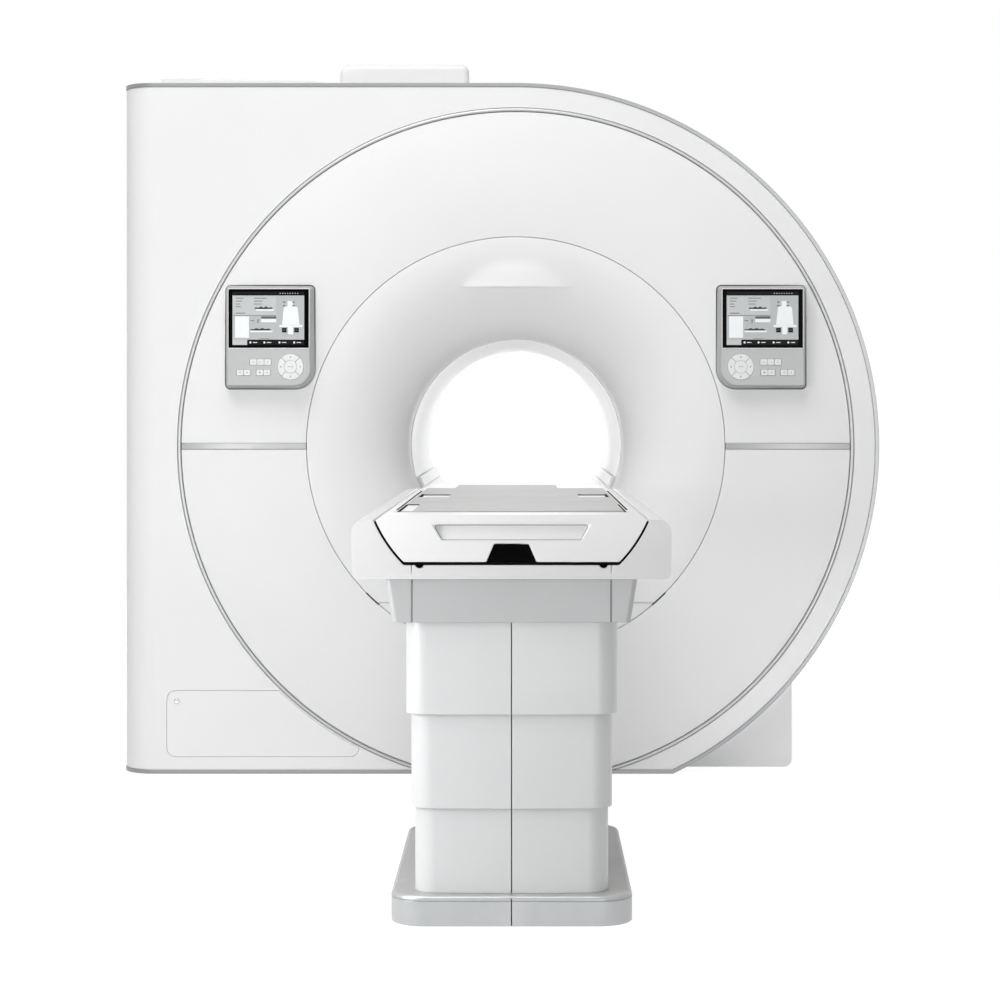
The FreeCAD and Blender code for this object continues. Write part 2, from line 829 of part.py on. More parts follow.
def front_seams(front, top):
    """The two upright joints that run down the frame's front and the housing under it."""
    cuts = [block(x - seam / 2, x + seam / 2, front - cut_over, front + seam_deep, pan_low - cut_over, top)
            for x in (-pan_seam_x, pan_seam_x)]
    return cuts[0].fuse(cuts[1])


# ---- table top ----
def side_at(r, z):
    """Half the width, at one height, of a circle round the bore axis."""
    return math.sqrt(r * r - (z - iso_z) ** 2)


def channel_steps(r, low, top):
    """Section of the space that the cradle runs in: sides round the bore axis and a flat floor."""
    mid = (low + cradle_edge_z) / 2
    foot, waist, edge = (side_at(r, z) for z in (low, mid, cradle_edge_z))
    above = [(edge, top), (-edge, top)] if top > cradle_edge_z else []
    return [
        (-foot, low),
        (foot, low),
        (waist, mid, edge, cradle_edge_z),
        *above,
        (-edge, cradle_edge_z),
        (-waist, mid, -foot, low),
    ]


def table_frame():
    radii = [frame_low_round] * 2 + [rail_round] * 2
    steps = rounded(-frame_half, frame_half, frame_low, frame_top, radii)
    body = front_view(steps, frame_front, frame_back)
    body = body.makeFillet(frame_edge, edges_where(body, lambda b: b.YLength < slack))
    channel = front_view(channel_steps(channel_r, channel_floor, frame_top + cut_over),
                         frame_front - cut_over, frame_back + cut_over)
    body = body.cut(channel.makeFillet(channel_corner, floor_edges(channel, channel_floor)))
    return one(body.cut(front_seams(frame_front, channel_floor)))


def floor_edges(body, low):
    """The two long edges of a floor."""
    return edges_where(body, lambda b: b.ZMax < low + slack and b.XLength < slack)


def cradle_section():
    steps = channel_steps(cradle_r, cradle_low, cradle_edge_z)
    rim = deck_half + deck_slot
    return steps[:3] + [(rim, rim_z), (-rim, rim_z)] + steps[3:]


def cradle_shell():
    body = front_view(cradle_section(), frame_front, cradle_back)
    body = body.makeFillet(channel_corner, floor_edges(body, cradle_low))
    for side in (-1, 1):
        x0, x1 = sorted(side * x for x in runner_x)
        body = body.fuse(block(x0, x1, frame_front + runner_end, cradle_back - runner_end,
                               channel_floor + fit, cradle_low))
    seat = deck_half + deck_slot
    body = body.cut(block(-seat, seat, deck_front - deck_slot, deck_back + cut_over,
                          deck_z - deck_wall, far))
    high, low = (cradle_low + up for up in groove_up)
    groove = front_view([
        (-groove_half[1], low),
        (groove_half[1], low),
        (groove_half[0], high),
        (-groove_half[0], high),
    ], frame_front - cut_over, frame_front + groove_depth)
    body = body.cut(groove)
    body = body.cut(front_view(recess_steps(0), frame_front - cut_over, frame_front + recess_depth))
    return one(body.cut(pivot_pin(fit)))


def recess_steps(gap):
    return [
        (-recess_half[1] + gap, cradle_low - cut_over + gap),
        (recess_half[1] - gap, cradle_low - cut_over + gap),
        (recess_half[0] - gap, recess_top - gap),
        (-recess_half[0] + gap, recess_top - gap),
    ]


def pivot_pin(gap):
    half = recess_half[0] + pivot_grip + gap
    return Part.makeCylinder(pivot_r + gap, 2 * half, Vec(-half, pivot_y, pivot_z), X_AXIS)


def release_paddle():
    front = frame_front + paddle_set_back
    body = front_view(recess_steps(paddle_gap), front, front + paddle_wall)
    top = recess_top - paddle_gap
    top_edges = edges_where(body, lambda b: b.ZMin > top - slack and b.YLength < slack)
    body = body.makeFillet(paddle_wall / 2 - paddle_flat, top_edges)
    return one(body.fuse(pivot_pin(0)))


def cradle_deck():
    return block(-deck_half, deck_half, deck_front, deck_back, deck_z - deck_wall, deck_z)


# ---- bridge in the bore ----
def bridge_wall(side, low, high):
    """A length of the bridge's side, from the channel out to the liner."""
    mid = (low + high) / 2
    out = bore_r - bridge_gap
    return front_view([
        (side * side_at(out, low), low),
        (side * side_at(out, mid), mid, side * side_at(out, high), high),
        (side * side_at(channel_r, high), high),
        (side * side_at(channel_r, mid), mid, side * side_at(channel_r, low), low),
    ], bridge_front, throat_back)


def bore_bridge():
    """The cradle's way through the bore: a plank, its tongue, and walls with square shoulders."""
    out = bore_r - bridge_gap
    foot = side_at(out, channel_floor)
    plank = front_view([
        (-foot, channel_floor),
        (0.0, iso_z - out, foot, channel_floor),
    ], bridge_front, throat_back)
    tongue = block(-tongue_half, tongue_half, frame_back + tongue_gap, bridge_front,
                   channel_floor - tongue_wall, channel_floor)
    heights = [channel_floor, (channel_floor + cradle_edge_z) / 2, cradle_edge_z, shoulder_z]
    walls = [bridge_wall(side, *pair) for side in (-1, 1) for pair in zip(heights, heights[1:])]
    return Part.makeCompound([plank, tongue, *walls])


# ---- all pieces ----
def pieces():
    lower_top = middle_stage_low + stage_overlap
    middle_top = upper_stage_low + stage_overlap
    tube_foot = plinth_well + tube_end_gap
    parts = {
        "magnet_base": magnet_base(),
        "cryostat_vessel": cryostat_vessel(),
        "gradient_coil": gradient_coil(),
        "bore_liner": bore_liner(),
        "bore_bridge": bore_bridge(),
        "front_cover": front_cover(),
        "edge_trim": edge_trim(),
        "upper_disc_panel": upper_disc_panel(),
        "lower_disc_panel": lower_disc_panel(),
        "disc_ring": disc_ring(),
        "disc_strips": disc_strips(),
        "bore_funnel": bore_funnel(),
        "funnel_lower_panel": funnel_lower_panel(),
        "service_hatch": service_hatch(),
        "hatch_lock": hatch_lock(),
        "barrel_cover": barrel_cover(),
        "rear_cover": rear_cover(),
        "rear_funnel": rear_funnel(),
        "side_cabinet": side_cabinet(),
        "turret_cover": turret_cover(),
        "table_plinth": table_plinth(),
        "lower_column_cover": stage_cover(0, plinth_h, lower_top, tube_hole(1)),
        "middle_column_cover": stage_cover(1, middle_stage_low, middle_top, tube_hole(2)),
        "upper_column_cover": stage_cover(2, upper_stage_low, pan_low),
        "lower_lift_tube": lift_tube(0, plinth_h, lower_top - stage_cap),
        "middle_lift_tube": lift_tube(1, tube_foot + lift_travel / 2, middle_top - stage_cap),
        "upper_lift_tube": lift_tube(2, tube_foot + lift_travel, pan_low),
        "under_housing": under_housing(),
        "table_frame": table_frame(),
        "cradle_shell": cradle_shell(),
        "cradle_deck": cradle_deck(),
        "release_paddle": release_paddle(),
    }
    for side, word in ((-1, "left"), (1, "right")):
        parts[word + "_console"] = console_body(side)
        parts[word + "_screen"] = console_screen(side)
        for number, key in enumerate(console_keys(side), 1):
            parts[f"{word}_key_{number}"] = key
        for name, key in pad_keys(side).items():
            parts[f"{word}_pad_{name}"] = key
    return parts


os.makedirs("parts", exist_ok=True)
for node, shape in pieces().items():
    shape.exportStep(f"parts/{node}.step")
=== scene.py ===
import bmesh
import bpy
import math
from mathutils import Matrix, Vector


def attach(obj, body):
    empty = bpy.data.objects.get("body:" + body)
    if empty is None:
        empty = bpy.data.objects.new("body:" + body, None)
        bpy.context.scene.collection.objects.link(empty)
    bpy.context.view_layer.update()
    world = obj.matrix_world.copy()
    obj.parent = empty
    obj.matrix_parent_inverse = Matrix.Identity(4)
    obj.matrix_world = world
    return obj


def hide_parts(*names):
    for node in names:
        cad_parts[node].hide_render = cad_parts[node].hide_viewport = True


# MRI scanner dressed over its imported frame. Metres, +Z up, the bore runs along +Y.
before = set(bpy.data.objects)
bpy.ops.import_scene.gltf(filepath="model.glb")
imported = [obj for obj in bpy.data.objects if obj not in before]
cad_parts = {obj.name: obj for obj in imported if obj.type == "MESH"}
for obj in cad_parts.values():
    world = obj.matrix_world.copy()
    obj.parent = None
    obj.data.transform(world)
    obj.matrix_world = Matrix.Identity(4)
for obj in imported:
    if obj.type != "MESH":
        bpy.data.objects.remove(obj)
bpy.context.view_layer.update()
scene = bpy.context.scene
scene.view_settings.view_transform = "Standard"
boreZ = 0.980                 # height of the bore's axis
past = 0.1                    # how far a cutter runs past what it cuts
nip = 0.01                    # the same for shallow cuts
print("frame loaded:", len(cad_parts), "nodes")


# helpers that draw outlines and turn them into meshes
def alongY(u, v, depth):      # outline drawn in X and Z
    return (u, depth, v)


def alongZ(u, v, depth):      # outline drawn in plan
    return (u, v, depth)


def alongX(u, v, depth):      # outline drawn in Y and Z
    return (depth, u, v)


def arc(cu, cv, r, start, end, steps):
    angles = [math.radians(start + (end - start) * n / steps) for n in range(steps + 1)]
    return [(cu + r * math.cos(a), cv + r * math.sin(a)) for a in angles]


def turnAt(z, r):      # angle at which a circle round the bore's axis has this height
    return math.degrees(math.asin((z - boreZ) / r))


def roundRect(u0, u1, v0, v1, radii, steps=8):
    if not isinstance(radii, (list, tuple)):
        radii = [radii] * 4
    corners = [(u0, v0, 1, 1, 180), (u1, v0, -1, 1, 270), (u1, v1, -1, -1, 0), (u0, v1, 1, -1, 90)]
    points = []
    for (u, v, inU, inV, start), r in zip(corners, radii):
        points += arc(u + inU * r, v + inV * r, r, start, start + 90, steps)
    return points


def rectAbout(u, v, halfU, halfV, radius, steps):      # rounded rectangle about its middle
    return roundRect(u - halfU, u + halfU, v - halfV, v + halfV, radius, steps)


def roundPoly(corners, radius, steps=5):      # polygon whose corners are rounded, convex or not
    points = []
    for n, here in enumerate(corners):
        here = Vector(here)
        back = Vector(corners[n - 1]) - here
        on = Vector(corners[(n + 1) % len(corners)]) - here
        half = back.angle(on) / 2
        reach = min(radius / math.tan(half), back.length * 0.45, on.length * 0.45)
        start, end = here + back.normalized() * reach, here + on.normalized() * reach
        for k in range(steps + 1):
            t = k / steps
            points.append(tuple(start * (1 - t) ** 2 + here * (2 * t * (1 - t)) + end * t ** 2))
    return points


def newPiece(name, mesh):
    piece = bpy.data.objects.new(name, mesh)
    scene.collection.objects.link(piece)
    return piece


def meshPiece(name, verts, faces):
    mesh = bpy.data.meshes.new(name)
    mesh.from_pydata(verts, [], faces)
    return tidyMesh(newPiece(name, mesh))


def reshape(piece, change):      # runs one change on the piece's editable mesh
    bm = bmesh.new()
    bm.from_mesh(piece.data)
    change(bm)
    bm.to_mesh(piece.data)
    bm.free()
    return piece


def tidyMesh(piece, weld=0.000002):
    def clean(bm):
        bmesh.ops.remove_doubles(bm, verts=bm.verts, dist=weld)
        bmesh.ops.dissolve_degenerate(bm, edges=bm.edges, dist=weld)
        bmesh.ops.recalc_face_normals(bm, faces=bm.faces)

    return reshape(piece, clean)


def loft(name, rings, closed=False):      # rings of equal count, capped at both ends unless closed
    count = len(rings[0])
    verts = [point for ring in rings for point in ring]
    faces = []
    last = len(rings) if closed else len(rings) - 1
    for k in range(last):
        low, high = k * count, (k + 1) % len(rings) * count
        for n in range(count):
            m = (n + 1) % count
            faces.append((low + n, low + m, high + m, high + n))
    if not closed:
        faces.append(tuple(range(count)))
        faces.append(tuple(last * count + n for n in range(count)))
    return meshPiece(name, verts, faces)


# rounds its ends over, with outline(inset) for the ring of points
def softPrism(name, outline, low, high, lift, roundLow, roundHigh, steps=4):
    levels = []
    for n in range(steps + 1 if roundLow else 1):
        a = math.pi / 2 * n / steps
        levels.append((low + roundLow * (1 - math.cos(a)), roundLow * (1 - math.sin(a))))
    for n in range(steps + 1 if roundHigh else 1):
        a = math.pi / 2 * (1 - n / steps)
        levels.append((high - roundHigh * (1 - math.cos(a)), roundHigh * (1 - math.sin(a))))
    return loft(name, [[lift(u, v, depth) for u, v in outline(inset)] for depth, inset in levels])


def prism(name, points, low, high, lift):
    return loft(name, [[lift(u, v, depth) for u, v in points] for depth in (low, high)])


def box(name, low, high):
    corners = [(low[0], low[1]), (high[0], low[1]), (high[0], high[1]), (low[0], high[1])]
    return prism(name, corners, low[2], high[2], alongZ)


def lathe(name, profile, steps=288, z=boreZ, x=0.0):      # closed profile of radius and Y, round an axis in Y
    rings = []
    for n in range(steps):
        a = 2 * math.pi * n / steps
        rings.append([(x + r * math.cos(a), y, z + r * math.sin(a)) for r, y in profile])
    return loft(name, rings, closed=True)


def circle(u, v, r, steps):
    return arc(u, v, r, 0, 360 - 360 / steps, steps - 1)


def drum(name, r, low, high, x=0.0, z=boreZ, steps=96):      # cutter or pin along Y
    return prism(name, circle(x, z, r, steps), low, high, alongY)


def joinAll(pieces, name):
    bm = bmesh.new()
    for piece in pieces:
        bm.from_mesh(piece.data)
    mesh = bpy.data.meshes.new(name)
    bm.to_mesh(mesh)
    bm.free()
    for piece in pieces:
        bpy.data.objects.remove(piece)
    return newPiece(name, mesh)


def carve(piece, cutter, operation="DIFFERENCE"):
    step = piece.modifiers.new("carve", "BOOLEAN")
    step.operation = operation
    step.solver = "EXACT"
    step.object = cutter
    bpy.context.view_layer.update()
    graph = bpy.context.evaluated_depsgraph_get()
    carved = bpy.data.meshes.new_from_object(piece.evaluated_get(graph))
    piece.modifiers.clear()
    piece.data = carved
    bpy.data.objects.remove(cutter)
    return tidyMesh(piece)


def slicePiece(piece, point, normal):      # keeps the side that the normal points away from
    def cut(bm):
        geometry = bm.verts[:] + bm.edges[:] + bm.faces[:]
        made = bmesh.ops.bisect_plane(bm, geom=geometry, dist=0.000001, plane_co=point, plane_no=normal,
                                      clear_outer=True)
        bmesh.ops.edgenet_fill(bm, edges=[e for e in made["geom_cut"] if isinstance(e, bmesh.types.BMEdge)])

    return tidyMesh(reshape(piece, cut))


def splitAcross(piece, places):      # splits faces at X, above a height, so that long faces shade evenly
    def split(bm):
        for x, low in places:
            faces = [f for f in bm.faces if f.calc_center_median().z > low]
            edges = {e for f in faces for e in f.edges}
            geometry = list({v for f in faces for v in f.verts}) + list(edges) + faces
            bmesh.ops.bisect_plane(bm, geom=geometry, dist=0.000001, plane_co=(x, 0, 0), plane_no=(1, 0, 0))

    return reshape(piece, split)


def soften(piece, width, segments=2, angle=40):      # small rounded edges on a cut piece
    edge = piece.modifiers.new("edge", "BEVEL")
    edge.width = width
    edge.segments = segments
    edge.limit_method = "ANGLE"
    edge.angle_limit = math.radians(angle)
    edge.use_clamp_overlap = False
    edge.harden_normals = True
    return piece


def roundEdges(piece, chosen, width, segments=5):      # rounds the edges whose two faces pass the test
    def turn(bm):
        bm.normal_update()
        edges = [e for e in bm.edges if len(e.link_faces) == 2 and chosen(e)]
        bmesh.ops.bevel(bm, geom=edges, offset=width, offset_type="OFFSET", segments=segments, profile=0.5,
                        affect="EDGES", clamp_overlap=True)

    return tidyMesh(reshape(piece, turn))


# gives a piece its finish and its CAD body, and hides the CAD node that it stands for
def settle(piece, paint, node=None, body="root", slot=None):
    piece.data.materials.clear()
    piece.data.materials.append(finishes[paint])
    for face in piece.data.polygons:
        face.use_smooth = True
    if not piece.modifiers:
        piece.data.set_sharp_from_angle(angle=math.radians(50))
    normals = piece.modifiers.new("normals", "WEIGHTED_NORMAL")
    normals.keep_sharp = True
    normals.weight = 80
    if node:
        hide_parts(node)
    slot or slots[paint]
    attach(piece, body)
    return piece


# shader node groups that several finishes share
def addNode(tree, kind, values=(), operation=None):
    node = tree.nodes.new("ShaderNode" + kind)
    for label, value in values:
        node.inputs[label].default_value = value
    if operation:
        node.operation = operation
    return node


def newGroup(name, inputs, outputs):
    group = bpy.data.node_groups.new(name, "ShaderNodeTree")
    for label, value in inputs:
        socket = group.interface.new_socket(label, in_out="INPUT", socket_type="NodeSocketFloat")
        socket.default_value = value
    for label in outputs:
        group.interface.new_socket(label, in_out="OUTPUT", socket_type="NodeSocketFloat")
    return group, group.nodes.new("NodeGroupInput"), group.nodes.new("NodeGroupOutput")


def noise(group, scale, detail, place=None):      # noise in the piece's own space, or in a stretched one
    texture = addNode(group, "TexNoise", [("Detail", detail)])
    if place is None:
        place = addNode(group, "TexCoord").outputs["Object"]
    group.links.new(place, texture.inputs["Vector"])
    group.links.new(scale, texture.inputs["Scale"])
    return texture.outputs["Fac"]


def moulded():      # fine orange peel of sprayed or moulded covers, with a slow change of gloss
    group, given, result = newGroup("mouldedSkin", [("Grain", 900.0), ("Patch", 3.0)], ["Height", "Gloss"])
    group.links.new(noise(group, given.outputs["Grain"], 3.0), result.inputs["Height"])
    group.links.new(noise(group, given.outputs["Patch"], 4.0), result.inputs["Gloss"])
    return group


def brushed():      # long fine scratches, along X by default
    inputs = [("Fine", 1400.0), ("Along X", 0.02), ("Along Y", 1.0), ("Along Z", 1.0)]
    group, given, result = newGroup("brushedLines", inputs, ["Height", "Streak"])
    stretch = addNode(group, "CombineXYZ")
    for axis in "XYZ":
        group.links.new(given.outputs["Along " + axis], stretch.inputs[axis])
    scaled = addNode(group, "VectorMath", operation="MULTIPLY")
    group.links.new(addNode(group, "TexCoord").outputs["Object"], scaled.inputs[0])
    group.links.new(stretch.outputs["Vector"], scaled.inputs[1])
    lines = noise(group, given.outputs["Fine"], 2.0, scaled.outputs["Vector"])
    group.links.new(lines, result.inputs["Height"])
    group.links.new(lines, result.inputs["Streak"])
    return group


# patches of noise, shown where a value runs from low to high
def spotMask(name, label, scale, detail, low, high):
    group, given, result = newGroup(name, [(label, scale)], ["Mask"])
    ramp = addNode(group, "MapRange", [("From Min", low), ("From Max", high)])
    both = addNode(group, "Math", operation="MULTIPLY")
    group.links.new(ramp.outputs["Result"], both.inputs[0])
    group.links.new(noise(group, given.outputs[label], detail), both.inputs[1])
    group.links.new(both.outputs["Value"], result.inputs["Mask"])
    return group, addNode(group, "NewGeometry"), ramp.inputs["Value"]


def rubbed():      # edges that hands and trolleys have rubbed
    group, shape, value = spotMask("edgeRub", "Spots", 25.0, 6.0, 0.52, 0.62)
    group.links.new(shape.outputs["Pointiness"], value)
    return group


def dusted():      # thin dust on faces that look up
    group, shape, value = spotMask("settledDust", "Patches", 9.0, 8.0, 0.6, 1.0)
    parts = addNode(group, "SeparateXYZ")
    group.links.new(shape.outputs["Normal"], parts.inputs["Vector"])
    group.links.new(parts.outputs["Z"], value)
    return group


groups = {"skin": moulded(), "lines": brushed(), "rub": rubbed(), "dust": dusted()}
print("shader groups built")


# one finish for each kind of surface
bumpDepth = 0.0002
patchTint = 0.955             # how much darker the patches of a finish are


def finish(name, colour, rough, metal=0.0, skin=(), lines=None, rub=None, dust=None, bump=0.1, gloss=0.06,
           coat=0.0, specular=0.5):
    material = bpy.data.materials.new(name)
    material.use_nodes = True
    tree = material.node_tree
    links = tree.links
    shader = tree.nodes["Principled BSDF"]
    constants = {"Base Color": (*colour, 1), "Metallic": metal, "Roughness": rough, "Coat Weight": coat,
                 "Specular IOR Level": specular}
    for label, value in constants.items():
        shader.inputs[label].default_value = value

    def place(kind, values=()):
        node = tree.nodes.new("ShaderNodeGroup")
        node.node_tree = groups[kind]
        for label, value in dict(values).items():
            node.inputs[label].default_value = value
        return node

    texture = place("skin", skin) if lines is None else place("lines", lines)
    height, change = texture.outputs[0], texture.outputs[1]
    bumps = addNode(tree, "Bump", [("Strength", bump), ("Distance", bumpDepth)])
    links.new(height, bumps.inputs["Height"])
    links.new(bumps.outputs["Normal"], shader.inputs["Normal"])
    spread = addNode(tree, "MapRange", [("To Min", max(rough - gloss, 0.02)), ("To Max", rough + gloss)])
    links.new(change, spread.inputs["Value"])
    links.new(spread.outputs["Result"], shader.inputs["Roughness"])
    tone = tintBy(tree, change, colour, tuple(c * patchTint for c in colour))
    if rub is not None:
        tone = tintBy(tree, place("rub").outputs["Mask"], tone, rub)
    if dust is not None:
        tone = tintBy(tree, place("dust").outputs["Mask"], tone, dust)
    links.new(tone, shader.inputs["Base Color"])
    return material


def tintBy(tree, mask, first, second):      # mixes two colours, or a colour into an earlier mix
    mix = addNode(tree, "Mix")
    mix.data_type = "RGBA"
    tree.links.new(mask, mix.inputs["Factor"])
    for socket, value in (("A", first), ("B", second)):
        target = next(s for s in mix.inputs if s.name == socket and s.type == "RGBA")
        if isinstance(value, tuple):
            target.default_value = (*value, 1)
        else:
            tree.links.new(value, target)
    return next(s for s in mix.outputs if s.type == "RGBA")


dustTone = (0.60, 0.59, 0.57)
finishes = {
    "cover": finish("coverPaint", (0.88, 0.88, 0.885), 0.46, bump=0.08, dust=(0.82, 0.82, 0.81),
                    specular=0.35),
    # grey table paint, darker than its own grey to stand for the shade under the tabletop: partly painted
    # shade
    "table": finish("tableShadedPaint", (0.64, 0.645, 0.65), 0.34, bump=0.08, dust=(0.61, 0.61, 0.60), coat=0.15),
    # white cover paint made a little darker for the cradle shell and side cabinet, to stand for shade
    # (painted shade)
    "shell": finish("shellShadedPaint", (0.82, 0.82, 0.825), 0.42, bump=0.08, dust=(0.77, 0.77, 0.76),
                    specular=0.35),
    # white cover paint made darker for the table's frame, to stand for the shade on its leaning front
    # (painted shade)
    "frame": finish("frameShadedPaint", (0.72, 0.72, 0.725), 0.42, bump=0.08, dust=(0.70, 0.70, 0.69),
                    specular=0.30),
    # table paint made darker still for the under-housing, to stand for the shade under the frame (painted
    # shade)
    "pan": finish("panShadedPaint", (0.465, 0.47, 0.475), 0.36, bump=0.08, dust=(0.45, 0.45, 0.44), coat=0.1),
    "liner": finish("linerPaint", (0.90, 0.90, 0.905), 0.50, bump=0.06, specular=0.3),
    "trim": finish("trimAluminium", (0.30, 0.305, 0.31), 0.32, metal=0.80, lines={}),
    "ring": finish("ringAluminium", (0.52, 0.525, 0.53), 0.34, metal=0.60, lines={}),
    "strip": finish("stripAluminium", (0.35, 0.355, 0.36), 0.36, metal=0.70, lines={}),
    "plinth": finish("plinthSilver", (0.44, 0.455, 0.46), 0.36, metal=0.55, skin={"Grain": 1600.0},
                     rub=(0.7, 0.7, 0.7), dust=dustTone),
    "console": finish("consoleSilver", (0.42, 0.43, 0.43), 0.40, metal=0.25, skin={"Grain": 2600.0},
                      bump=0.12, rub=(0.75, 0.76, 0.76)),
    "lip": finish("screenLip", (0.92, 0.92, 0.92), 0.35, skin={"Grain": 2600.0}),
    "key": finish("keyPlastic", (0.82, 0.825, 0.825), 0.45, skin={"Grain": 2200.0}, rub=(0.88, 0.88, 0.88)),
    "icon": finish("keyPrint", (0.30, 0.31, 0.32), 0.5, skin={"Grain": 2200.0}),
    "bezel": finish("screenBezel", (0.001, 0.001, 0.002), 0.22, skin={"Grain": 500.0}, bump=0.01, gloss=0.03,
                    specular=0.02),
    "deck": finish("deckLaminate", (0.48, 0.485, 0.485), 0.60, lines={"Fine": 500.0}, bump=0.06,
                   dust=(0.55, 0.55, 0.54), specular=0.12),
    "black": finish("gripBlack", (0.0015, 0.0015, 0.0015), 0.60, skin={"Grain": 1500.0}, bump=0.15,
                    specular=0.02),
    # gap: near-black for strips that stand for the shade in gaps, grooves, notches and slots (painted shade)
    "gap": finish("gapShadow", (0.004, 0.004, 0.004), 0.8, specular=0.1),
    "chrome": finish("lockChrome", (0.62, 0.63, 0.64), 0.16, metal=1.0, skin={"Grain": 300.0}, bump=0.02,
                     gloss=0.04),
    "steel": finish("baseSteel", (0.09, 0.10, 0.11), 0.5, skin={"Grain": 400.0}, bump=0.2, dust=dustTone),
    "vessel": finish("vesselMetal", (0.62, 0.63, 0.64), 0.4, metal=0.9, lines={"Fine": 300.0}),
    "resin": finish("coilResin", (0.42, 0.30, 0.16), 0.5, skin={"Grain": 200.0}, bump=0.2),
    "tube": finish("tubeSteel", (0.45, 0.45, 0.46), 0.3, metal=1.0, lines={"Along X": 1.0, "Along Z": 0.02}),
}
slots = {"cover": "cover_white", "shell": "cover_white", "frame": "cover_white", "table": "table_grey",
         "pan": "table_grey", "liner": "liner_white", "trim": "trim_metal", "ring": "trim_metal",
         "strip": "trim_metal", "plinth": "plinth_silver", "console": "console_grey", "lip": "console_grey",
         "key": "key_grey", "icon": "key_grey", "bezel": "screen_glass", "deck": "deck_grey",
         "black": "paddle_black", "chrome": "lock_chrome"}
print("finishes:", len(finishes))


# front slab with its metal edge; trimReach is how far the metal wraps round
slab = {"front": -0.930, "back": -0.790, "left": -1.179, "arc": 1.085, "corner": 0.100, "low": 0.002,
        "trimWidth": 0.012, "trimReach": 0.045, "trimProud": 0.002, "recess": 1.011, "recessBack": -0.915,
        "mouth": 0.66, "pocketDeep": 0.012}


def slabOutline(inset, left, steps=150):
    r = slab["arc"] - inset
    low = slab["low"] + inset
    return [(left, low)] + arc(0, boreZ, r, turnAt(low, r), 90, steps) + [(left, boreZ + r)]


def slabBlock(name, inset, left, front, back, corner):      # the slab's outline with its round upright corner
    block = prism(name, slabOutline(inset, left), front, back, alongY)
    plan = arc(left + corner, front + corner, corner, 180, 270, 24)
    plan += [(2, front), (2, 1), (left, 1)]
    return carve(block, prism("plan", plan, -1, 3, alongZ), "INTERSECT")


def buildSlab():
    s = slab
    front, back = s["front"], s["back"]
    cover = slabBlock("slabCover", s["trimProud"], s["left"] + s["trimProud"], front, back, s["corner"])
    band = slabBlock("edgeBand", 0, s["left"], front - s["trimProud"], back, s["corner"])
    window = prism("window", slabOutline(s["trimWidth"], s["left"] - 0.05), front - nip, back + nip, alongY)
    band = carve(band, window)
    inLeft, inFront = s["left"] + s["trimReach"], front - s["trimProud"] + s["trimReach"]
    turn = s["corner"] - s["trimReach"]
    inner = arc(inLeft + turn, inFront + turn, turn, 180, 270, 16) + [(2, inFront), (2, 1), (inLeft, 1)]
    band = carve(band, prism("inner", inner, -1, 3, alongZ))
    cover = carve(cover, newPiece("bandWay", band.data.copy()))
    cover = carve(cover, drum("recess", s["recess"], front - past, s["recessBack"], steps=360))
    cover = carve(cover, drum("mouth", s["mouth"], front - past, back + past, steps=180))
    pocket = hatchBlock("pocket", -hatch["play"], front - nip, front + s["pocketDeep"], hatch["land"])
    cover = carve(cover, pocket)
    settle(soften(cover, 0.0012), "cover", "front_cover")
    settle(soften(band, 0.0012), "trim", "edge_trim")


hatch = {"left": -1.042, "right": -0.468, "low": 0.0525, "high": 0.250, "corner": 0.027, "play": 0.0005,
         "thick": 0.0115, "land": 0.005, "lock": (-1.0125, 0.218), "lockRadius": 0.008, "lockBack": 0.012,
         "slotHalf": 0.0011, "slotDeep": 0.003}


def hatchOutline(inset):
    h = hatch
    return roundRect(h["left"] + inset, h["right"] - inset, h["low"] + inset, h["high"] - inset,
                     h["corner"] - inset, 10)


def hatchBlock(name, inset, front, back, land):
    block = prism(name, hatchOutline(inset), front, back, alongY)
    return carve(block, drum("discWay", slab["recess"] + land, front - past, back + past, steps=360))


def buildHatch():
    h, front = hatch, slab["front"]
    x, z = h["lock"]
    r, half = h["lockRadius"], h["slotHalf"]
    panel = hatchBlock("hatchPanel", h["play"], front, front + h["thick"], h["land"] + h["play"])
    panel = carve(panel, drum("lockHole", r + 0.0006, front - past, front + past, x, z, 48))
    settle(soften(panel, 0.0008), "cover", "service_hatch")
    profile = [(0.0001, front + h["lockBack"]), (0.0001, front + 0.0002), (r * 0.5, front - 0.0002),
               (r * 0.86, front - 0.0006), (r, front), (r, front + h["lockBack"])]
    barrel = lathe("hatchLock", profile, 64, z, x)
    reach = r * 0.62
    slot = box("slot", (x - reach, front - nip, z - half), (x + reach, front + h["slotDeep"], z + half))
    settle(soften(carve(barrel, slot), 0.0003), "chrome", "hatch_lock", "hatch_lock")


disc = {"inner": 0.62575, "outer": 0.998, "front": -0.930, "back": -0.915, "crown": 0.0135, "rim": 0.001,
        "edge": 0.0012, "gap": 0.0095, "strip": 0.009, "stripProud": 0.0015, "low": 0.0155,
        "ringIn": 0.9995, "ringOut": 1.0095, "ringProud": 0.004}


def crownAt(r):      # Y of the panels' face
    t = (r - disc["inner"]) / (disc["outer"] - disc["inner"])
    return disc["front"] - disc["rim"] * t - 4 * disc["crown"] * t * (1 - t)


def discPanel(name, side, rows=28, columns=220):      # half ring with a level edge, crowned in front
    inner, outer, edge = disc["inner"], disc["outer"], disc["edge"]
    span = outer - inner - 2 * edge
    radii = [inner] + [inner + edge + span * n / rows for n in range(rows + 1)] + [outer]
    front, back = [], []
    for r in radii:
        start = math.asin(disc["gap"] / r)
        drop = edge if r in (inner, outer) else 0
        line = []
        for n in range(columns + 1):
            a = start + (math.pi - 2 * start) * n / columns
            line.append((r * math.cos(a), crownAt(r) + drop, boreZ + side * r * math.sin(a)))
        front.append(line)
        back.append([(x, disc["back"], z) for x, y, z in line])
    return gridSolid(name, front, back)


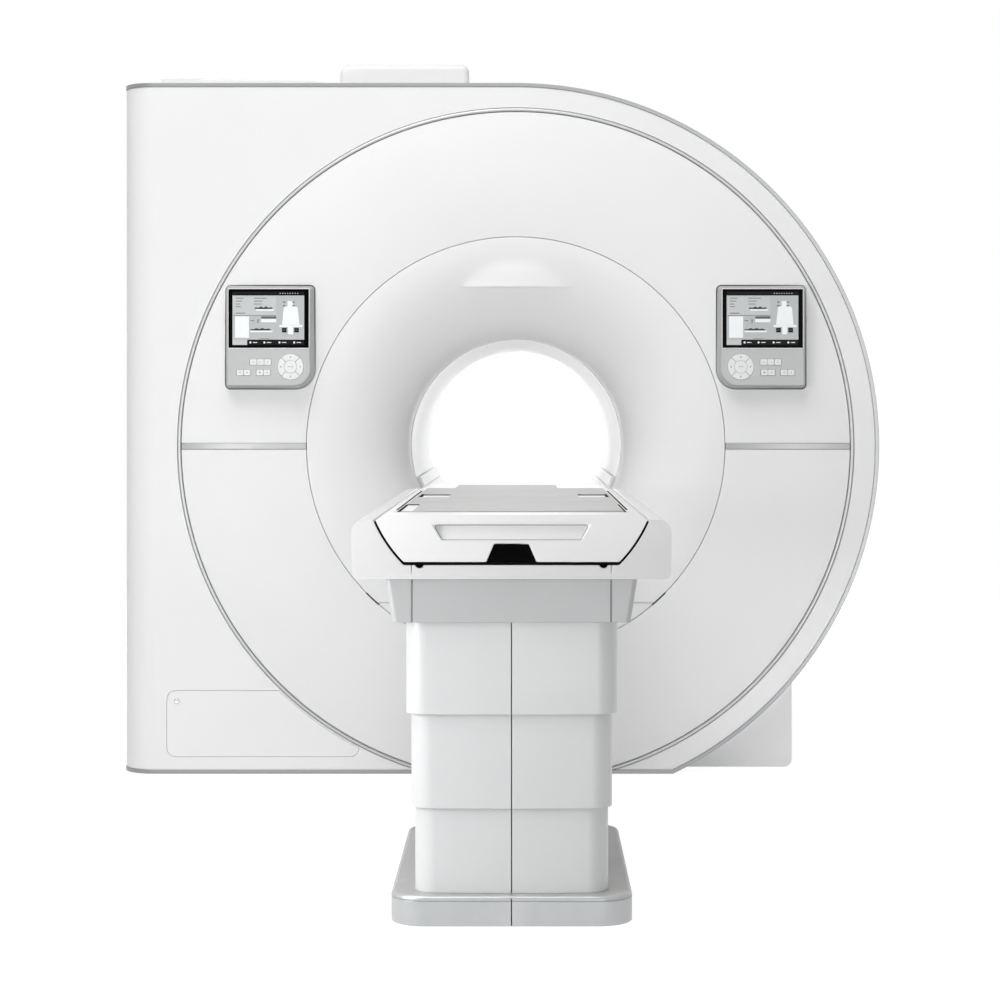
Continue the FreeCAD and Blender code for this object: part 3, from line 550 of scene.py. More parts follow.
def gridSolid(name, front, back):      # closed solid between two matching grids
    rows, columns = len(front), len(front[0])
    verts = [p for line in front for p in line] + [p for line in back for p in line]
    shift = rows * columns
    faces = []
    for i in range(rows - 1):
        for j in range(columns - 1):
            a = i * columns + j
            quad = (a, a + 1, a + columns + 1, a + columns)
            faces.append(quad)
            faces.append(tuple(shift + v for v in reversed(quad)))
    rim = list(range(columns)) + [i * columns + columns - 1 for i in range(1, rows)]
    rim += [(rows - 1) * columns + j for j in range(columns - 2, -1, -1)]
    rim += [i * columns for i in range(rows - 2, 0, -1)]
    for n, a in enumerate(rim):
        b = rim[(n + 1) % len(rim)]
        faces.append((a, b, shift + b, shift + a))
    return meshPiece(name, verts, faces)


def buildDisc():
    upper = discPanel("discUpper", 1)
    for side in (-1, 1):
        upper = carve(upper, prism("seat", consoleOutline(side, 0.0007), -1.1, console["seat"], alongY))
    settle(soften(upper, 0.0010), "cover", "upper_disc_panel")
    lower = discPanel("discLower", -1)
    lower = slicePiece(lower, (0, 0, disc["low"]), (0, 0, -1))
    lower = carve(lower, notchRing())
    settle(soften(lower, 0.0010), "cover", "lower_disc_panel")
    inner, outer, front = disc["ringIn"], disc["ringOut"], disc["front"]
    middle, half = (inner + outer) / 2, (outer - inner) / 2
    bead = [(middle - half * math.cos(math.radians(a)), front - disc["ringProud"] * math.sin(math.radians(a)))
            for a in range(0, 181, 15)]
    ring = lathe("discRing", [(inner, disc["back"])] + bead + [(outer, disc["back"])], 360)
    ring = slicePiece(ring, (0, 0, disc["low"]), (0, 0, -1))
    settle(soften(ring, 0.0003, 1, 60), "ring", "disc_ring")
    strips = []
    for side in (-1, 1):
        lines = [[], []]
        for n in range(41):
            r = disc["inner"] + (disc["outer"] - disc["inner"]) * n / 40
            for line, z in zip(lines, (-disc["strip"], disc["strip"])):
                x = math.sqrt(r * r - z * z)
                line.append((side * x, crownAt(r) - disc["stripProud"], boreZ + z))
        behind = [[(x, disc["back"], z) for x, y, z in line] for line in lines]
        strips.append(gridSolid("strip", lines, behind))
    strips = joinAll(strips, "discStrips")
    settle(soften(strips, 0.0012, 3), "strip", "disc_strips")


# bell mouth between the disc and the bore, with the brow at its top and two notches low in its rim
bell = {"rim": 0.625, "throat": 0.328, "throatY": -0.633, "wall": 0.012, "lip": 0.030, "seam": 0.00075,
        "edge": 0.0013, "seamZ": 0.512, "notchIn": 0.6232, "notchOut": 0.6274, "notchLow": 0.505,
        "notchHigh": 0.543, "notchBack": -0.920, "shadeFront": -0.9255}
brow = {"z": 1.456, "half": 0.176, "radius": 0.628, "front": -0.9262, "blend": 0.012, "fadeFrom": 1.500,
        "top": 1.560}


def quarter(rim, foot, swing, start, end, steps, side=1):      # curve of a bell mouth, as radius and Y
    angles = [math.radians(start + (end - start) * n / steps) for n in range(steps + 1)]
    return [(rim - swing * math.cos(a), foot - side * swing * math.sin(a)) for a in angles]


def bellProfile(steps=44):
    rim, foot, swing = bell["rim"], bell["throatY"], bell["rim"] - bell["throat"]
    back = swing - bell["wall"]
    last = math.degrees(math.acos(bell["seam"] / swing))
    seat = math.degrees(math.acos(bell["lip"] / back))
    face = quarter(rim, foot, swing, 0, last, steps)
    behind = quarter(rim, foot, back, seat, 0, 14)
    return face + [(face[-1][0], disc["back"]), (rim - bell["lip"], disc["back"])] + behind


def notchBand(name, front, back, inset=0.0, trim=0.0):      # ring between two levels
    inner, outer = bell["notchIn"] + inset, bell["notchOut"] - inset
    low, high = bell["notchLow"] + trim, bell["notchHigh"] - trim
    ring = lathe(name, [(inner, front), (outer, front), (outer, back), (inner, back)], 360)
    return carve(ring, box("level", (-1, -1, low), (1, 0, high)), "INTERSECT")


def notchRing():      # cutter for the two notches between the bell and the disc
    return notchBand("notch", disc["front"] - 0.02, bell["notchBack"])


def notchShadeStrips():      # painted shade: near-black strips at the bottom of the two notches, so that the notches read dark
    return notchBand("notchShadeStrips", bell["shadeFront"], bell["notchBack"] - 0.0005, 0.0004, 0.001)


def bellY(r):      # Y of the bell's face
    swing = bell["rim"] - bell["throat"]
    return bell["throatY"] - math.sqrt(max(swing ** 2 - (bell["rim"] - r) ** 2, 0))


def softMin(a, b, width):      # the nearer of two depths, rounded where they cross
    h = max(width - abs(a - b), 0) / width
    return min(a, b) - h ** 3 * width / 6


def browPatch(rows=48, columns=120):      # moulded brow that runs out into the bell, with a flat underside
    b = brow
    front, back = [], []
    for i in range(rows + 1):
        z = b["z"] + (b["top"] - b["z"]) * i / rows
        fade = min(max((b["top"] - z) / (b["top"] - b["fadeFrom"]), 0), 1)
        line, behind = [], []
        for j in range(columns + 1):
            x = b["half"] * (2 * j / columns - 1)
            base = bellY(math.hypot(x, z - boreZ))
            face = b["front"] + b["radius"] - math.sqrt(b["radius"] ** 2 - x * x)
            share = fade * fade * (3 - 2 * fade) * (1 - (abs(x) / b["half"]) ** 10)
            line.append((x, base + (softMin(base, face, b["blend"]) - base) * share - 0.00005, z))
            behind.append((x, base + 0.004, z))
        front.append(line)
        back.append(behind)
    return gridSolid("browPatch", front, back)


def buildBell():
    upper = lathe("bellMouth", bellProfile())
    lower = newPiece("bellLower", upper.data.copy())
    for piece, side, node in ((upper, 1, "bore_funnel"), (lower, -1, "funnel_lower_panel")):
        piece = slicePiece(piece, (0, 0, bell["seamZ"] + side * bell["seam"]), (0, 0, -side))
        settle(soften(carve(piece, notchRing()), bell["edge"], 2, 50), "cover", node)
    settle(notchShadeStrips(), "gap", slot="cover_white")
    settle(soften(browPatch(), 0.0020, 3, 50), "cover")


bore = {"inner": 0.325, "outer": 0.3445, "front": -0.633, "back": 0.683}
bridge = {"radius": 0.3245, "channel": 0.3135, "floor": 0.762, "shoulder": 0.880, "front": -0.600,
          "tongue": 0.200, "tongueLow": 0.736, "tongueFront": -1.060, "corner": 0.008,
          "groove": (0.8475, 0.8495), "grooveDeep": 0.0015}


def channelSide(r, z):
    return math.sqrt(r * r - (z - boreZ) ** 2)


def channelLine(r, floor, top, corner, steps=18):      # right half of the cradle's channel, from its floor up
    z = floor + corner - boreZ
    x = math.sqrt((r - corner) ** 2 - z * z)
    turn = math.degrees(math.atan2(z, x))
    return arc(x, floor + corner, corner, -90, turn, 6) + arc(0, boreZ, r, turn, turnAt(top, r), steps)[1:]


def bridgeSide():      # inner side of the bridge: the channel, a fine groove along it and the shoulder
    g = bridge
    low, high = g["groove"]
    deep = g["channel"] + g["grooveDeep"]
    points = channelLine(g["channel"], g["floor"], low, g["corner"])
    points += [(channelSide(deep, low), low), (channelSide(deep, high), high)]
    r = g["channel"]
    return points + arc(0, boreZ, r, turnAt(high, r), turnAt(g["shoulder"], r), 6)


def mirrored(half):
    return half + [(-u, v) for u, v in reversed(half)]


def buildBore():
    b, g = bore, bridge
    profile = [(b["inner"], b["front"]), (b["inner"], b["back"]), (b["outer"], b["back"]),
               (b["outer"], b["front"])]
    settle(soften(lathe("boreLiner", profile), 0.0008), "liner", "bore_liner")
    low = turnAt(g["shoulder"], g["radius"])
    inner = bridgeSide()
    section = arc(0, boreZ, g["radius"], -180 - low, low, 96) + inner[::-1] + [(-u, v) for u, v in inner]
    body = prism("boreBridge", section, g["front"], b["back"], alongY)
    half, end = g["tongue"], g["front"] + 0.02
    tongue = box("tongue", (-half, g["tongueFront"], g["tongueLow"]), (half, end, g["floor"]))
    settle(soften(carve(body, tongue, "UNION"), 0.0025, 3), "liner", "bore_bridge")


# covers behind the slab
barrel = {"radius": 0.950, "half": 0.840, "low": 0.002, "corner": 0.025, "front": -0.790, "back": 0.9145,
          "wall": 0.006, "openHalf": 0.805, "openHigh": 0.1, "plateFront": 0.9155, "plateBack": 0.930,
          "plateRound": 0.012, "mouth": 0.60, "plateMouth": 0.57575, "seams": (-0.255, 0.330),
          "seamHalf": 0.0012, "seamDeep": 0.0025}
rearBell = {"rim": 0.575, "throatY": 0.683, "swing": 0.247, "wall": 0.012}


def barrelOutline(inset):
    r, half = barrel["radius"] - inset, barrel["half"] - inset
    low, turn = barrel["low"] + inset, max(barrel["corner"] - inset, 0.004)
    rise = math.degrees(math.acos(half / r))
    points = arc(half - turn, low + turn, turn, 270, 360, 8)
    points += arc(0, boreZ, r, -rise, 180 + rise, 180)
    return points + arc(-half + turn, low + turn, turn, 180, 270, 8)


def barrelRing(inset, y):
    return [(u, y, v) for u, v in barrelOutline(inset)]


def buildBarrel():
    b = barrel
    w = b["seamHalf"]
    shell = softPrism("barrelShell", barrelOutline, b["front"], b["back"], alongY, 0.001, 0.0015)
    for y in b["seams"]:      # joints between the hoops of the cover
        rings = [barrelRing(-0.02, y - w), barrelRing(-0.02, y + w), barrelRing(b["seamDeep"], y + w),
                 barrelRing(b["seamDeep"], y - w)]
        shell = carve(shell, loft("groove", rings, closed=True))
    inFront = b["front"] + b["wall"]
    shell = carve(shell, prism("inside", barrelOutline(b["wall"]), inFront, b["back"] + past, alongY))
    shell = carve(shell, drum("mouth", b["mouth"], -1, 1.2, steps=180))
    shell = carve(shell, box("underside", (-b["openHalf"], inFront, -1), (b["openHalf"], 2, b["openHigh"])))
    settle(soften(shell, 0.0010, 2, 50), "cover", "barrel_cover")
    plate = softPrism("rearPlate", barrelOutline, b["plateFront"], b["plateBack"], alongY, 0.001,
                      b["plateRound"], 6)
    plate = carve(plate, drum("mouth", b["plateMouth"], -1, 1.2, steps=288))
    settle(soften(plate, 0.0010, 2, 50), "cover", "rear_cover")
    r = rearBell
    face = quarter(r["rim"], r["throatY"], r["swing"], 0, 90, 36, -1)
    behind = quarter(r["rim"], r["throatY"], r["swing"] - r["wall"], 90, 0, 14, -1)
    settle(soften(lathe("rearBell", face + behind), 0.0008, 2, 50), "cover", "rear_funnel")


cabinet = {"left": -1.080, "right": -0.545, "ledge": -0.955, "flat": -0.620, "top": 2.100, "step": 2.096,
           "low": 2.080, "foot": 0.002, "front": -0.790, "back": -0.255, "corner": 0.040, "play": 0.0006}
turret = {"left": -0.579, "right": -0.156, "low": 1.700, "top": 2.222, "half": 0.250, "rightRound": 0.026,
          "leftRound": 0.036, "lowRound": 0.002, "endRound": 0.020, "play": 0.0004}


def buildRoof():
    c, t = cabinet, turret
    outline = [(c["left"], c["foot"]), (c["right"], c["foot"]), (c["right"], c["low"]),
               (c["flat"], c["step"]), (c["ledge"], c["step"]), (c["ledge"], c["top"]), (c["left"], c["top"])]
    body = prism("sideCabinet", outline, c["front"], c["back"], alongY)
    turn = arc(c["left"] + c["corner"], c["back"] - c["corner"], c["corner"], 90, 180, 12)
    plan = [(c["left"], -1), (1, -1), (1, c["back"])] + turn
    body = carve(body, prism("plan", plan, -1, 3, alongZ), "INTERSECT")
    body = carve(body, prism("barrelWay", barrelOutline(-c["play"]), -1, 0, alongY))
    body = carve(body, box("sideWay", (-barrel["half"] - c["play"], -1, -1), (0, 0, boreZ)))
    settle(soften(body, 0.0040, 3, 28), "shell", "side_cabinet")
    corners = [t["lowRound"], t["lowRound"], t["rightRound"], t["leftRound"]]
    outline = roundRect(t["left"], t["right"], t["low"], t["top"], corners)
    top = softPrism("turretCover", lambda inset: insetRing(outline, inset), -t["half"], t["half"], alongY,
                    t["endRound"], t["endRound"], 6)
    top = carve(top, drum("barrelWay", barrel["radius"] + t["play"], -1, 1, steps=360))
    settle(soften(top, 0.0010, 2, 50), "cover", "turret_cover")


def insetRing(points, inset):      # moves a convex ring towards its inside
    moved = []
    count = len(points)
    for n, (u, v) in enumerate(points):
        before, after = Vector(points[n - 1]), Vector(points[(n + 1) % count])
        along = after - before
        if along.length < 1e-9:
            moved.append((u, v))
            continue
        along.normalize()
        moved.append((u - along.y * inset, v + along.x * inset))
    return moved


# the two consoles; joint is the fine line round the housing, as Y and growth of the outline,
# and a row of keys is its shift, its height and its number
console = {"x": 0.73185, "z": 1.305, "width": 0.268, "height": 0.310, "seat": -0.928, "front": -0.985,
           "corner": 0.015, "bigCorner": 0.060, "taper": 0.010, "edge": 0.004, "draft": 0.0007,
           "joint": ((-0.9460, -0.0032), (-0.9464, -0.0052), (-0.9480, -0.0052), (-0.9484, -0.0036)),
           "screen": (0.238, 0.174), "screenUp": 0.054, "screenDeep": 0.005, "screenProud": 0.0005,
           "screenBack": 0.0045, "window": 0.0025, "lipOut": 0.0023, "lipIn": 0.0002, "lipProud": 0.0006,
           "lipBack": 0.004, "keyProud": 0.0015, "keyDeep": 0.006, "key": (0.0202, 0.0175), "play": 0.0005,
           "pitch": 0.0212, "pad": (0.065, -0.089), "padRadius": 0.0385, "padInner": 0.0195,
           "padCentre": 0.0189, "padHalf": 0.0006, "padMark": 0.029,
           "rows": ((-0.024, -0.075, 3), (-0.074, -0.106, 2), (-0.0155, -0.106, 2))}


def consoleOutline(side, grow, steps=10):
    c = console
    big, small = c["bigCorner"] + grow, c["corner"] + grow
    radii = [big, small, small, small] if side > 0 else [small, big, small, small]
    return rectAbout(side * c["x"], c["z"], c["width"] / 2 + grow, c["height"] / 2 + grow, radii, steps)


def consoleShell(side, name):      # tapers to the front, with a fine joint near the disc
    c = console
    edge, taper = c["edge"], c["taper"] - c["draft"]
    levels = [(c["seat"], 0.0), *c["joint"]]
    for n in range(6):
        a = math.pi / 2 * n / 5
        levels.append((c["front"] + edge * (1 - math.sin(a)), -taper - edge * (1 - math.cos(a))))
    return loft(name, [[(u, y, v) for u, v in consoleOutline(side, grow)] for y, grow in levels])


def keyPlaces(side):
    c = console
    for shift, up, count in c["rows"]:
        for n in range(count):
            yield side * (c["x"] - shift) + (n - (count - 1) / 2) * c["pitch"], c["z"] + up


def padPlace(side):
    return side * (console["x"] - console["pad"][0]), console["z"] + console["pad"][1]


def rowFrames(side):      # the recess that each group of keys sits in
    c = console
    for shift, up, count in c["rows"]:
        halfW, halfH = c["pitch"] * count / 2 + c["play"], c["key"][1] / 2 + c["play"]
        yield rectAbout(side * (c["x"] - shift), c["z"] + up, halfW, halfH, 0.0025, 4)


def buildConsole(side, word):
    c = console
    front = c["front"]
    floor = front + c["keyDeep"] - c["keyProud"] + 0.0015
    x, z = side * c["x"], c["z"] + c["screenUp"]

    def lit(grow, radius):      # outline of the lit area, made larger or smaller
        return rectAbout(x, z, c["screen"][0] / 2 + grow, c["screen"][1] / 2 + grow, radius, 4)

    shell = consoleShell(side, word + "ConsoleShell")
    window = prism("window", lit(c["window"], 0.003), front - nip, front + c["screenDeep"], alongY)
    shell = carve(shell, window)
    for outline in rowFrames(side):
        shell = carve(shell, prism("row", outline, front - nip, floor, alongY))
    shell = carve(shell, drum("padWay", c["padRadius"] + c["play"], front - nip, floor, *padPlace(side)))
    settle(soften(shell, 0.0006, 2, 50), "console", word + "_console")
    outer, inner = lit(c["lipOut"], 0.0028), lit(c["lipIn"], 0.0012)
    back, proud = front + c["lipBack"], front - c["lipProud"]
    rings = [[(u, y, v) for u, v in line]
             for line, y in ((outer, back), (outer, proud), (inner, proud), (inner, back))]
    settle(soften(loft(word + "ScreenLip", rings, closed=True), 0.0004, 2), "lip")
    glass = softPrism(word + "ScreenGlass", lambda inset: lit(-inset, 0.0015), front - c["screenProud"],
                      front + c["screenBack"], alongY, 0.0004, 0.0, 2)
    settle(glass, "bezel", word + "_screen")
    buildScreen(side, word)
    buildKeys(side, word)


# what the screens show: plain panels, dashes and a table seen from above, in fractions of the lit area
picture = {"low": (-0.107, -0.0785), "high": (0.1055, 0.0800), "proud": 0.0002, "glow": 0.12}
screenTones = {"back": 0.50, "panel": 0.56, "light": 0.88, "mid": 0.14, "dark": 0.012, "mark": 0.07}


def screenTone(name, level):
    colour = (level * 0.97, level, level * 1.01)
    material = finish("screen" + name.capitalize(), colour, 0.25, skin={"Grain": 300.0}, bump=0.005,
                      gloss=0.02, specular=0.04)
    shader = material.node_tree.nodes["Principled BSDF"]
    shader.inputs["Emission Color"].default_value = (level, level, level, 1)
    shader.inputs["Emission Strength"].default_value = picture["glow"]
    return material


finishes.update({name: screenTone(name, level) for name, level in screenTones.items()})


def plate(outline, layer, side):      # one flat shape of the picture, outline in fractions
    c = console
    x, z = side * c["x"], c["z"] + c["screenUp"]
    low, high = picture["low"], picture["high"]
    wide, tall = high[0] - low[0], high[1] - low[1]
    points = [(x + low[0] + wide * u, z + low[1] + tall * v) for u, v in outline]
    front = c["front"] - c["screenProud"] - picture["proud"] * layer
    return prism("plate", points, front, front + picture["proud"] * (layer + 0.5), alongY)


def bar(u0, u1, v0, v1):
    return [(u0, v0), (u1, v0), (u1, v1), (u0, v1)]


def dashes(rows, u0, lengths, height):
    return [bar(u0, u0 + length, v - height, v + height) for v, length in zip(rows, lengths)]


def wave(u0, u1, v, tall, tilt, steps=24):      # a lying outline, as on a planning screen
    top, low = [], []
    for n in range(steps + 1):
        u = u0 + (u1 - u0) * n / steps
        full = math.sin(math.pi * (n + 0.6) / (steps + 1.2)) ** 0.45
        top.append((u, v + tall * full * (0.72 + 0.28 * math.sin(n * 0.9 + tilt))))
        low.append((u, v - tall * full * 0.30))
    return low + list(reversed(top))


def buildScreen(side, word):
    table = [(0.69, 0.37), (0.935, 0.37), (0.91, 0.69), (0.895, 0.715), (0.84, 0.72), (0.84, 0.82),
             (0.767, 0.82), (0.767, 0.72), (0.73, 0.715), (0.715, 0.69)]
    shapes = {      # the number is the layer that a shape lies in
        "back": [(1, bar(0.0, 1.0, 0.10, 0.925)), (1, bar(0.0, 0.205, 0.0, 0.10))],
        "panel": [(2, bar(0.012, 0.608, 0.56, 0.905)), (2, bar(0.0, 0.20, 0.005, 0.092))],
        "light": [(3, bar(0.035, 0.230, 0.135, 0.535)), (2, table), (2, bar(0.655, 0.975, 0.335, 0.375)),
                  (2, bar(0.775, 0.845, 0.20, 0.335)), (2, bar(0.400, 0.610, 0.425, 0.490)),
                  (3, bar(0.250, 0.560, 0.238, 0.268)), (3, bar(0.330, 0.575, 0.640, 0.672))],
        "mid": [(2, bar(0.012, 0.608, 0.548, 0.556)), (3, bar(0.400, 0.610, 0.490, 0.535))],
        "dark": [(1, bar(0.0, 1.0, 0.935, 0.995)), (1, bar(0.210, 1.0, 0.0, 0.092)),
                 (3, bar(0.690, 0.755, 0.235, 0.320)), (3, bar(0.860, 0.925, 0.235, 0.320))],
        "mark": [(4, bar(0.705, 0.740, 0.262, 0.292)), (4, bar(0.875, 0.910, 0.262, 0.292)),
                 (4, wave(0.31, 0.56, 0.682, 0.040, 0.4)), (4, wave(0.250, 0.540, 0.282, 0.036, 1.7))],
    }
    for v in (0.790, 0.725):      # labels beside the table's head
        shapes["mid"] += [(3, bar(u, u + 0.030, v, v + 0.022)) for u in (0.705, 0.835)]
    for line in (dashes((0.875, 0.82, 0.765, 0.715), 0.045, (0.105, 0.09, 0.06, 0.07), 0.006),
                 dashes((0.875, 0.82, 0.765), 0.30, (0.18, 0.12, 0.105), 0.006),
                 dashes((0.595,), 0.045, (0.135,), 0.007),
                 dashes((0.465, 0.425), 0.345, (0.02, 0.02), 0.012),
                 [bar(0.25, 0.30, 0.448, 0.462), bar(0.37, 0.51, 0.115, 0.122)]):
        shapes["mid"] += [(3, shape) for shape in line]
    for u in (0.25, 0.445, 0.655, 0.86):      # round buttons in the lowest line
        turns = [math.pi * n / 6 for n in range(12)]
        shapes["light"].append((2, [(u + 0.014 * math.cos(a), 0.047 + 0.020 * math.sin(a)) for a in turns]))
    shapes["light"] += [(2, bar(u, u + 0.060, 0.040, 0.054)) for u in (0.285, 0.48, 0.69, 0.895)]
    shapes["light"] += [(2, bar(0.66 + 0.035 * n, 0.670 + 0.035 * n, 0.958, 0.972)) for n in range(8)]
    for tone, plates in shapes.items():
        made = [plate(outline, layer, side) for layer, outline in plates]
        settle(joinAll(made, word + "Picture" + tone.capitalize()), tone, slot="screen_glass")


def keyCap(name, outline, front):
    cap = softPrism(name, outline, front, front + console["keyDeep"], alongY, 0.0008, 0.0, 3)
    return settle(cap, "key", name, name)


def iconPlate(name, shapes, x, z, front):
    made = [prism("mark", [(x + u, z + v) for u, v in shape], front - 0.00012, front + 0.0003, alongY)
            for shape in shapes]
    return settle(joinAll(made, name + "Icon"), "icon", body=name)


def arrow(angle, size=0.0032):      # small triangle that points away from the pad's middle
    a = math.radians(angle)
    corners = [(size, 0), (-size * 0.6, size * 0.9), (-size * 0.6, -size * 0.9)]
    return [(u * math.cos(a) - v * math.sin(a), u * math.sin(a) + v * math.cos(a)) for u, v in corners]


def buildKeys(side, word):
    c = console
    front = c["front"] - c["keyProud"]
    marks = [[bar(-0.004, 0.004, -0.0008, 0.0008)],
             [bar(-0.004, -0.0015, -0.001, 0.001), bar(0.0015, 0.004, -0.001, 0.001)],
             [arrow(90, 0.0026)],
             [bar(-0.003, 0.003, -0.0022, -0.0010), bar(-0.003, 0.003, 0.0010, 0.0022)],
             [arrow(0, 0.0026)],
             [roundRect(-0.0028, 0.0028, -0.0022, 0.0022, 0.0008, 3)],
             [arrow(180, 0.0026)]]
    halfW, halfH = c["key"][0] / 2, c["key"][1] / 2
    for n, (x, z) in enumerate(keyPlaces(side)):
        name = "%s_key_%d" % (word, n + 1)
        keyCap(name, lambda inset: rectAbout(x, z, halfW - inset, halfH - inset, 0.0020, 5), front)
        iconPlate(name, marks[n], x, z, front)
    x, z = padPlace(side)
    for angle, place in ((0, "right"), (90, "up"), (180, "left"), (270, "down")):
        name = "%s_pad_%s" % (word, place)

        def segment(inset):
            big, small = c["padRadius"] - inset, c["padInner"] + inset
            side1, side2 = (math.degrees(math.asin((c["padHalf"] + inset) / r)) for r in (big, small))
            rim = arc(x, z, big, angle - 45 + side1, angle + 45 - side1, 24)
            return rim + arc(x, z, small, angle + 45 - side2, angle - 45 + side2, 16)

        keyCap(name, segment, front)
        a = math.radians(angle)
        iconPlate(name, [arrow(angle)], x + c["padMark"] * math.cos(a), z + c["padMark"] * math.sin(a), front)
    name = word + "_pad_centre"
    keyCap(name, lambda inset: circle(x, z, c["padCentre"] - inset, 60), front)
    iconPlate(name, [bar(-0.007, -0.0015, -0.0009, 0.0009), bar(0.0015, 0.007, -0.0009, 0.0009)], x, z, front)


# patient table
# ways and well are the radii of the holes for the lift tubes, bolt is a hole's place and radius
column = {"y": -2.560, "plinthHalf": (0.257, 0.440), "plinthTop": 0.064, "plinthCorner": 0.075,
          "plinthRound": 0.010, "corner": 0.045, "halves": ((0.206, 0.413), (0.214, 0.421), (0.2245, 0.4315)),
          "spans": ((0.064, 0.262), (0.244, 0.462), (0.444, 0.640)), "groove": 0.0025, "deep": 0.0028,
          "shadeHalf": 0.0007, "shadeLining": 0.0010, "crown": 0.007, "wall": 0.004, "roof": 0.005,
          "topRoof": 0.003, "cutTop": 0.2,
          "line": 0.0513, "lineWide": 0.0022, "lineDeep": 0.0018,
          "well": (0.0623, 0.010), "ways": (0.062, 0.0537), "bolt": (0.150, 0.300, 0.007)}


def columnOutline(half, corner, crown=0.0):      # rounded rectangle whose front and back swell by the crown
    y, steps = column["y"], 14

    def ring(inset):
        points = rectAbout(0, y, half[0] - inset, half[1] - inset, max(corner - inset, 0.002), steps)
        spread = []
        for n in range(4):
            spread += points[n * (steps + 1):(n + 1) * (steps + 1)]
            if n % 2 == 0:
                a, b = points[(n + 1) * (steps + 1) - 1], points[(n + 1) * (steps + 1)]
                spread += [(a[0] + (b[0] - a[0]) * k / 12, a[1]) for k in range(1, 12)]
        return [(u, v - math.copysign(crown * (u / half[0]) ** 2, v - y)) for u, v in spread]

    return ring


def nearAndFar(name, w, inner, outer, low, high):      # two upright bars in the middle of the column's ends
    y = column["y"]
    near = box("near", (-w, y - outer, low), (w, y - inner, high))
    far = box("far", (-w, y + inner, low), (w, y + outer, high))
    return joinAll([near, far], name)


def centreGrooves(halfY, low, high):
    return nearAndFar("grooves", column["groove"] / 2, halfY - column["deep"], halfY + nip, low, high)


def seamShadeStrips(name, halfY, low, high):      # painted shade: near-black strips at the bottom of the centre grooves, so that the grooves read as dark lines
    c = column
    return nearAndFar(name, c["shadeHalf"], halfY - c["deep"] + 0.0002, halfY - c["shadeLining"], low, high)


def upright(name, r, low, high, x=0.0, y=0.0, steps=72):      # round cutter about the column's upright axis
    return prism(name, circle(x, column["y"] + y, r, steps), low, high, alongZ)


def plinthLevels():      # heights and insets: small foot, a line below the rounded top edge
    c = column
    low, high, r = c["line"], c["line"] + c["lineWide"], c["plinthRound"]
    levels = [(0.0, 0.0015), (0.0015, 0.0), (low, 0.0), (low + 0.0003, c["lineDeep"]), (high, c["lineDeep"]),
              (high + 0.0003, 0.0)]
    for n in range(7):
        a = math.pi / 2 * n / 6
        levels.append((c["plinthTop"] - r * (1 - math.sin(a)), r * (1 - math.cos(a))))
    return levels


def buildColumn():
    c = column
    half, high, above = c["plinthHalf"], c["plinthTop"], c["cutTop"]
    ring = columnOutline(half, c["plinthCorner"])
    plinth = loft("tablePlinth", [[(u, v, z) for u, v in ring(inset)] for z, inset in plinthLevels()])
    plinth = carve(plinth, centreGrooves(half[1], -past, above))
    plinth = carve(plinth, upright("well", *c["well"], above))
    for x in (-c["bolt"][0], c["bolt"][0]):
        for y in (-c["bolt"][1], c["bolt"][1]):
            plinth = carve(plinth, upright("bolt", c["bolt"][2], -past, above, x, y, 32))
    settle(soften(plinth, 0.0005, 2, 50), "plinth", "table_plinth")
    settle(seamShadeStrips("plinthSeamShade", half[1], 0.001, high - 0.006), "gap", slot="plinth_silver")
    stages = (("lower_column_cover", "root", c["ways"][0]),
              ("middle_column_cover", "middle_stage", c["ways"][1]), ("upper_column_cover", "table", 0))
    for half, (low, high), (node, body, way) in zip(c["halves"], c["spans"], stages):
        outline = columnOutline(half, c["corner"], c["crown"])
        sleeve = softPrism(node + "_shell", outline, low, high, alongZ, 0.0015, 0.0015, 3)
        roof = c["roof"] if way else c["topRoof"]
        sleeve = carve(sleeve, prism("hollow", outline(c["wall"]), low - past, high - roof, alongZ))
        sleeve = carve(sleeve, centreGrooves(half[1], low - nip, high + nip))
        if way:
            sleeve = carve(sleeve, upright("tubeWay", way, high - 0.02, high + 0.02))
        settle(soften(sleeve, 0.0005, 2, 50), "table", node, body)
        # near-black strip in each groove stands for the groove's shade (painted shade)
        shadeLining = seamShadeStrips(node + "_seam_shade", half[1], low + 0.001, high - 0.001)
        settle(shadeLining, "gap", body=body, slot=slots["table"])


housing = {"front": -3.010, "back": -1.120, "low": 0.640, "high": 0.732, "halfTop": 0.265, "halfLow": 0.250,
           "rise": 0.050, "riseY": -2.000, "corner": 0.012, "below": 0.00002, "seams": 0.209,
           "seamWidth": 0.0015, "seamDeep": 0.0015}


def frontSeams(front, low, high):
    w = housing["seamWidth"] / 2
    cuts = [box("seam", (x - w, front - nip, low), (x + w, front + housing["seamDeep"], high))
            for x in (-housing["seams"], housing["seams"])]
    return joinAll(cuts, "seams")


def buildHousing():
    h = housing
    turn, front, back = h["corner"], h["front"], h["back"]
    side = [(front, h["low"]), (h["riseY"], h["low"]), (back, h["low"] + h["rise"]), (back, h["high"]),
            (front, h["high"])]
    body = prism("underHousing", side, -0.4, 0.4, alongX)

    def plan(half, z):
        left = arc(-half + turn, front + turn, turn, 180, 270, 8)
        right = arc(half - turn, front + turn, turn, 270, 360, 8)
        return [(u, v, z) for u, v in left + right + [(half, back), (-half, back)]]

    rings = [plan(h["halfLow"], h["low"] - h["below"]), plan(h["halfTop"], h["high"])]
    body = carve(body, loft("planBlock", rings), "INTERSECT")
    body = carve(body, frontSeams(front, h["low"] - nip, h["high"] + nip))
    # the pan finish is darkened to stand for the shade under the frame (painted shade)
    settle(soften(body, 0.0020, 3, 50), "pan", "under_housing", "table")


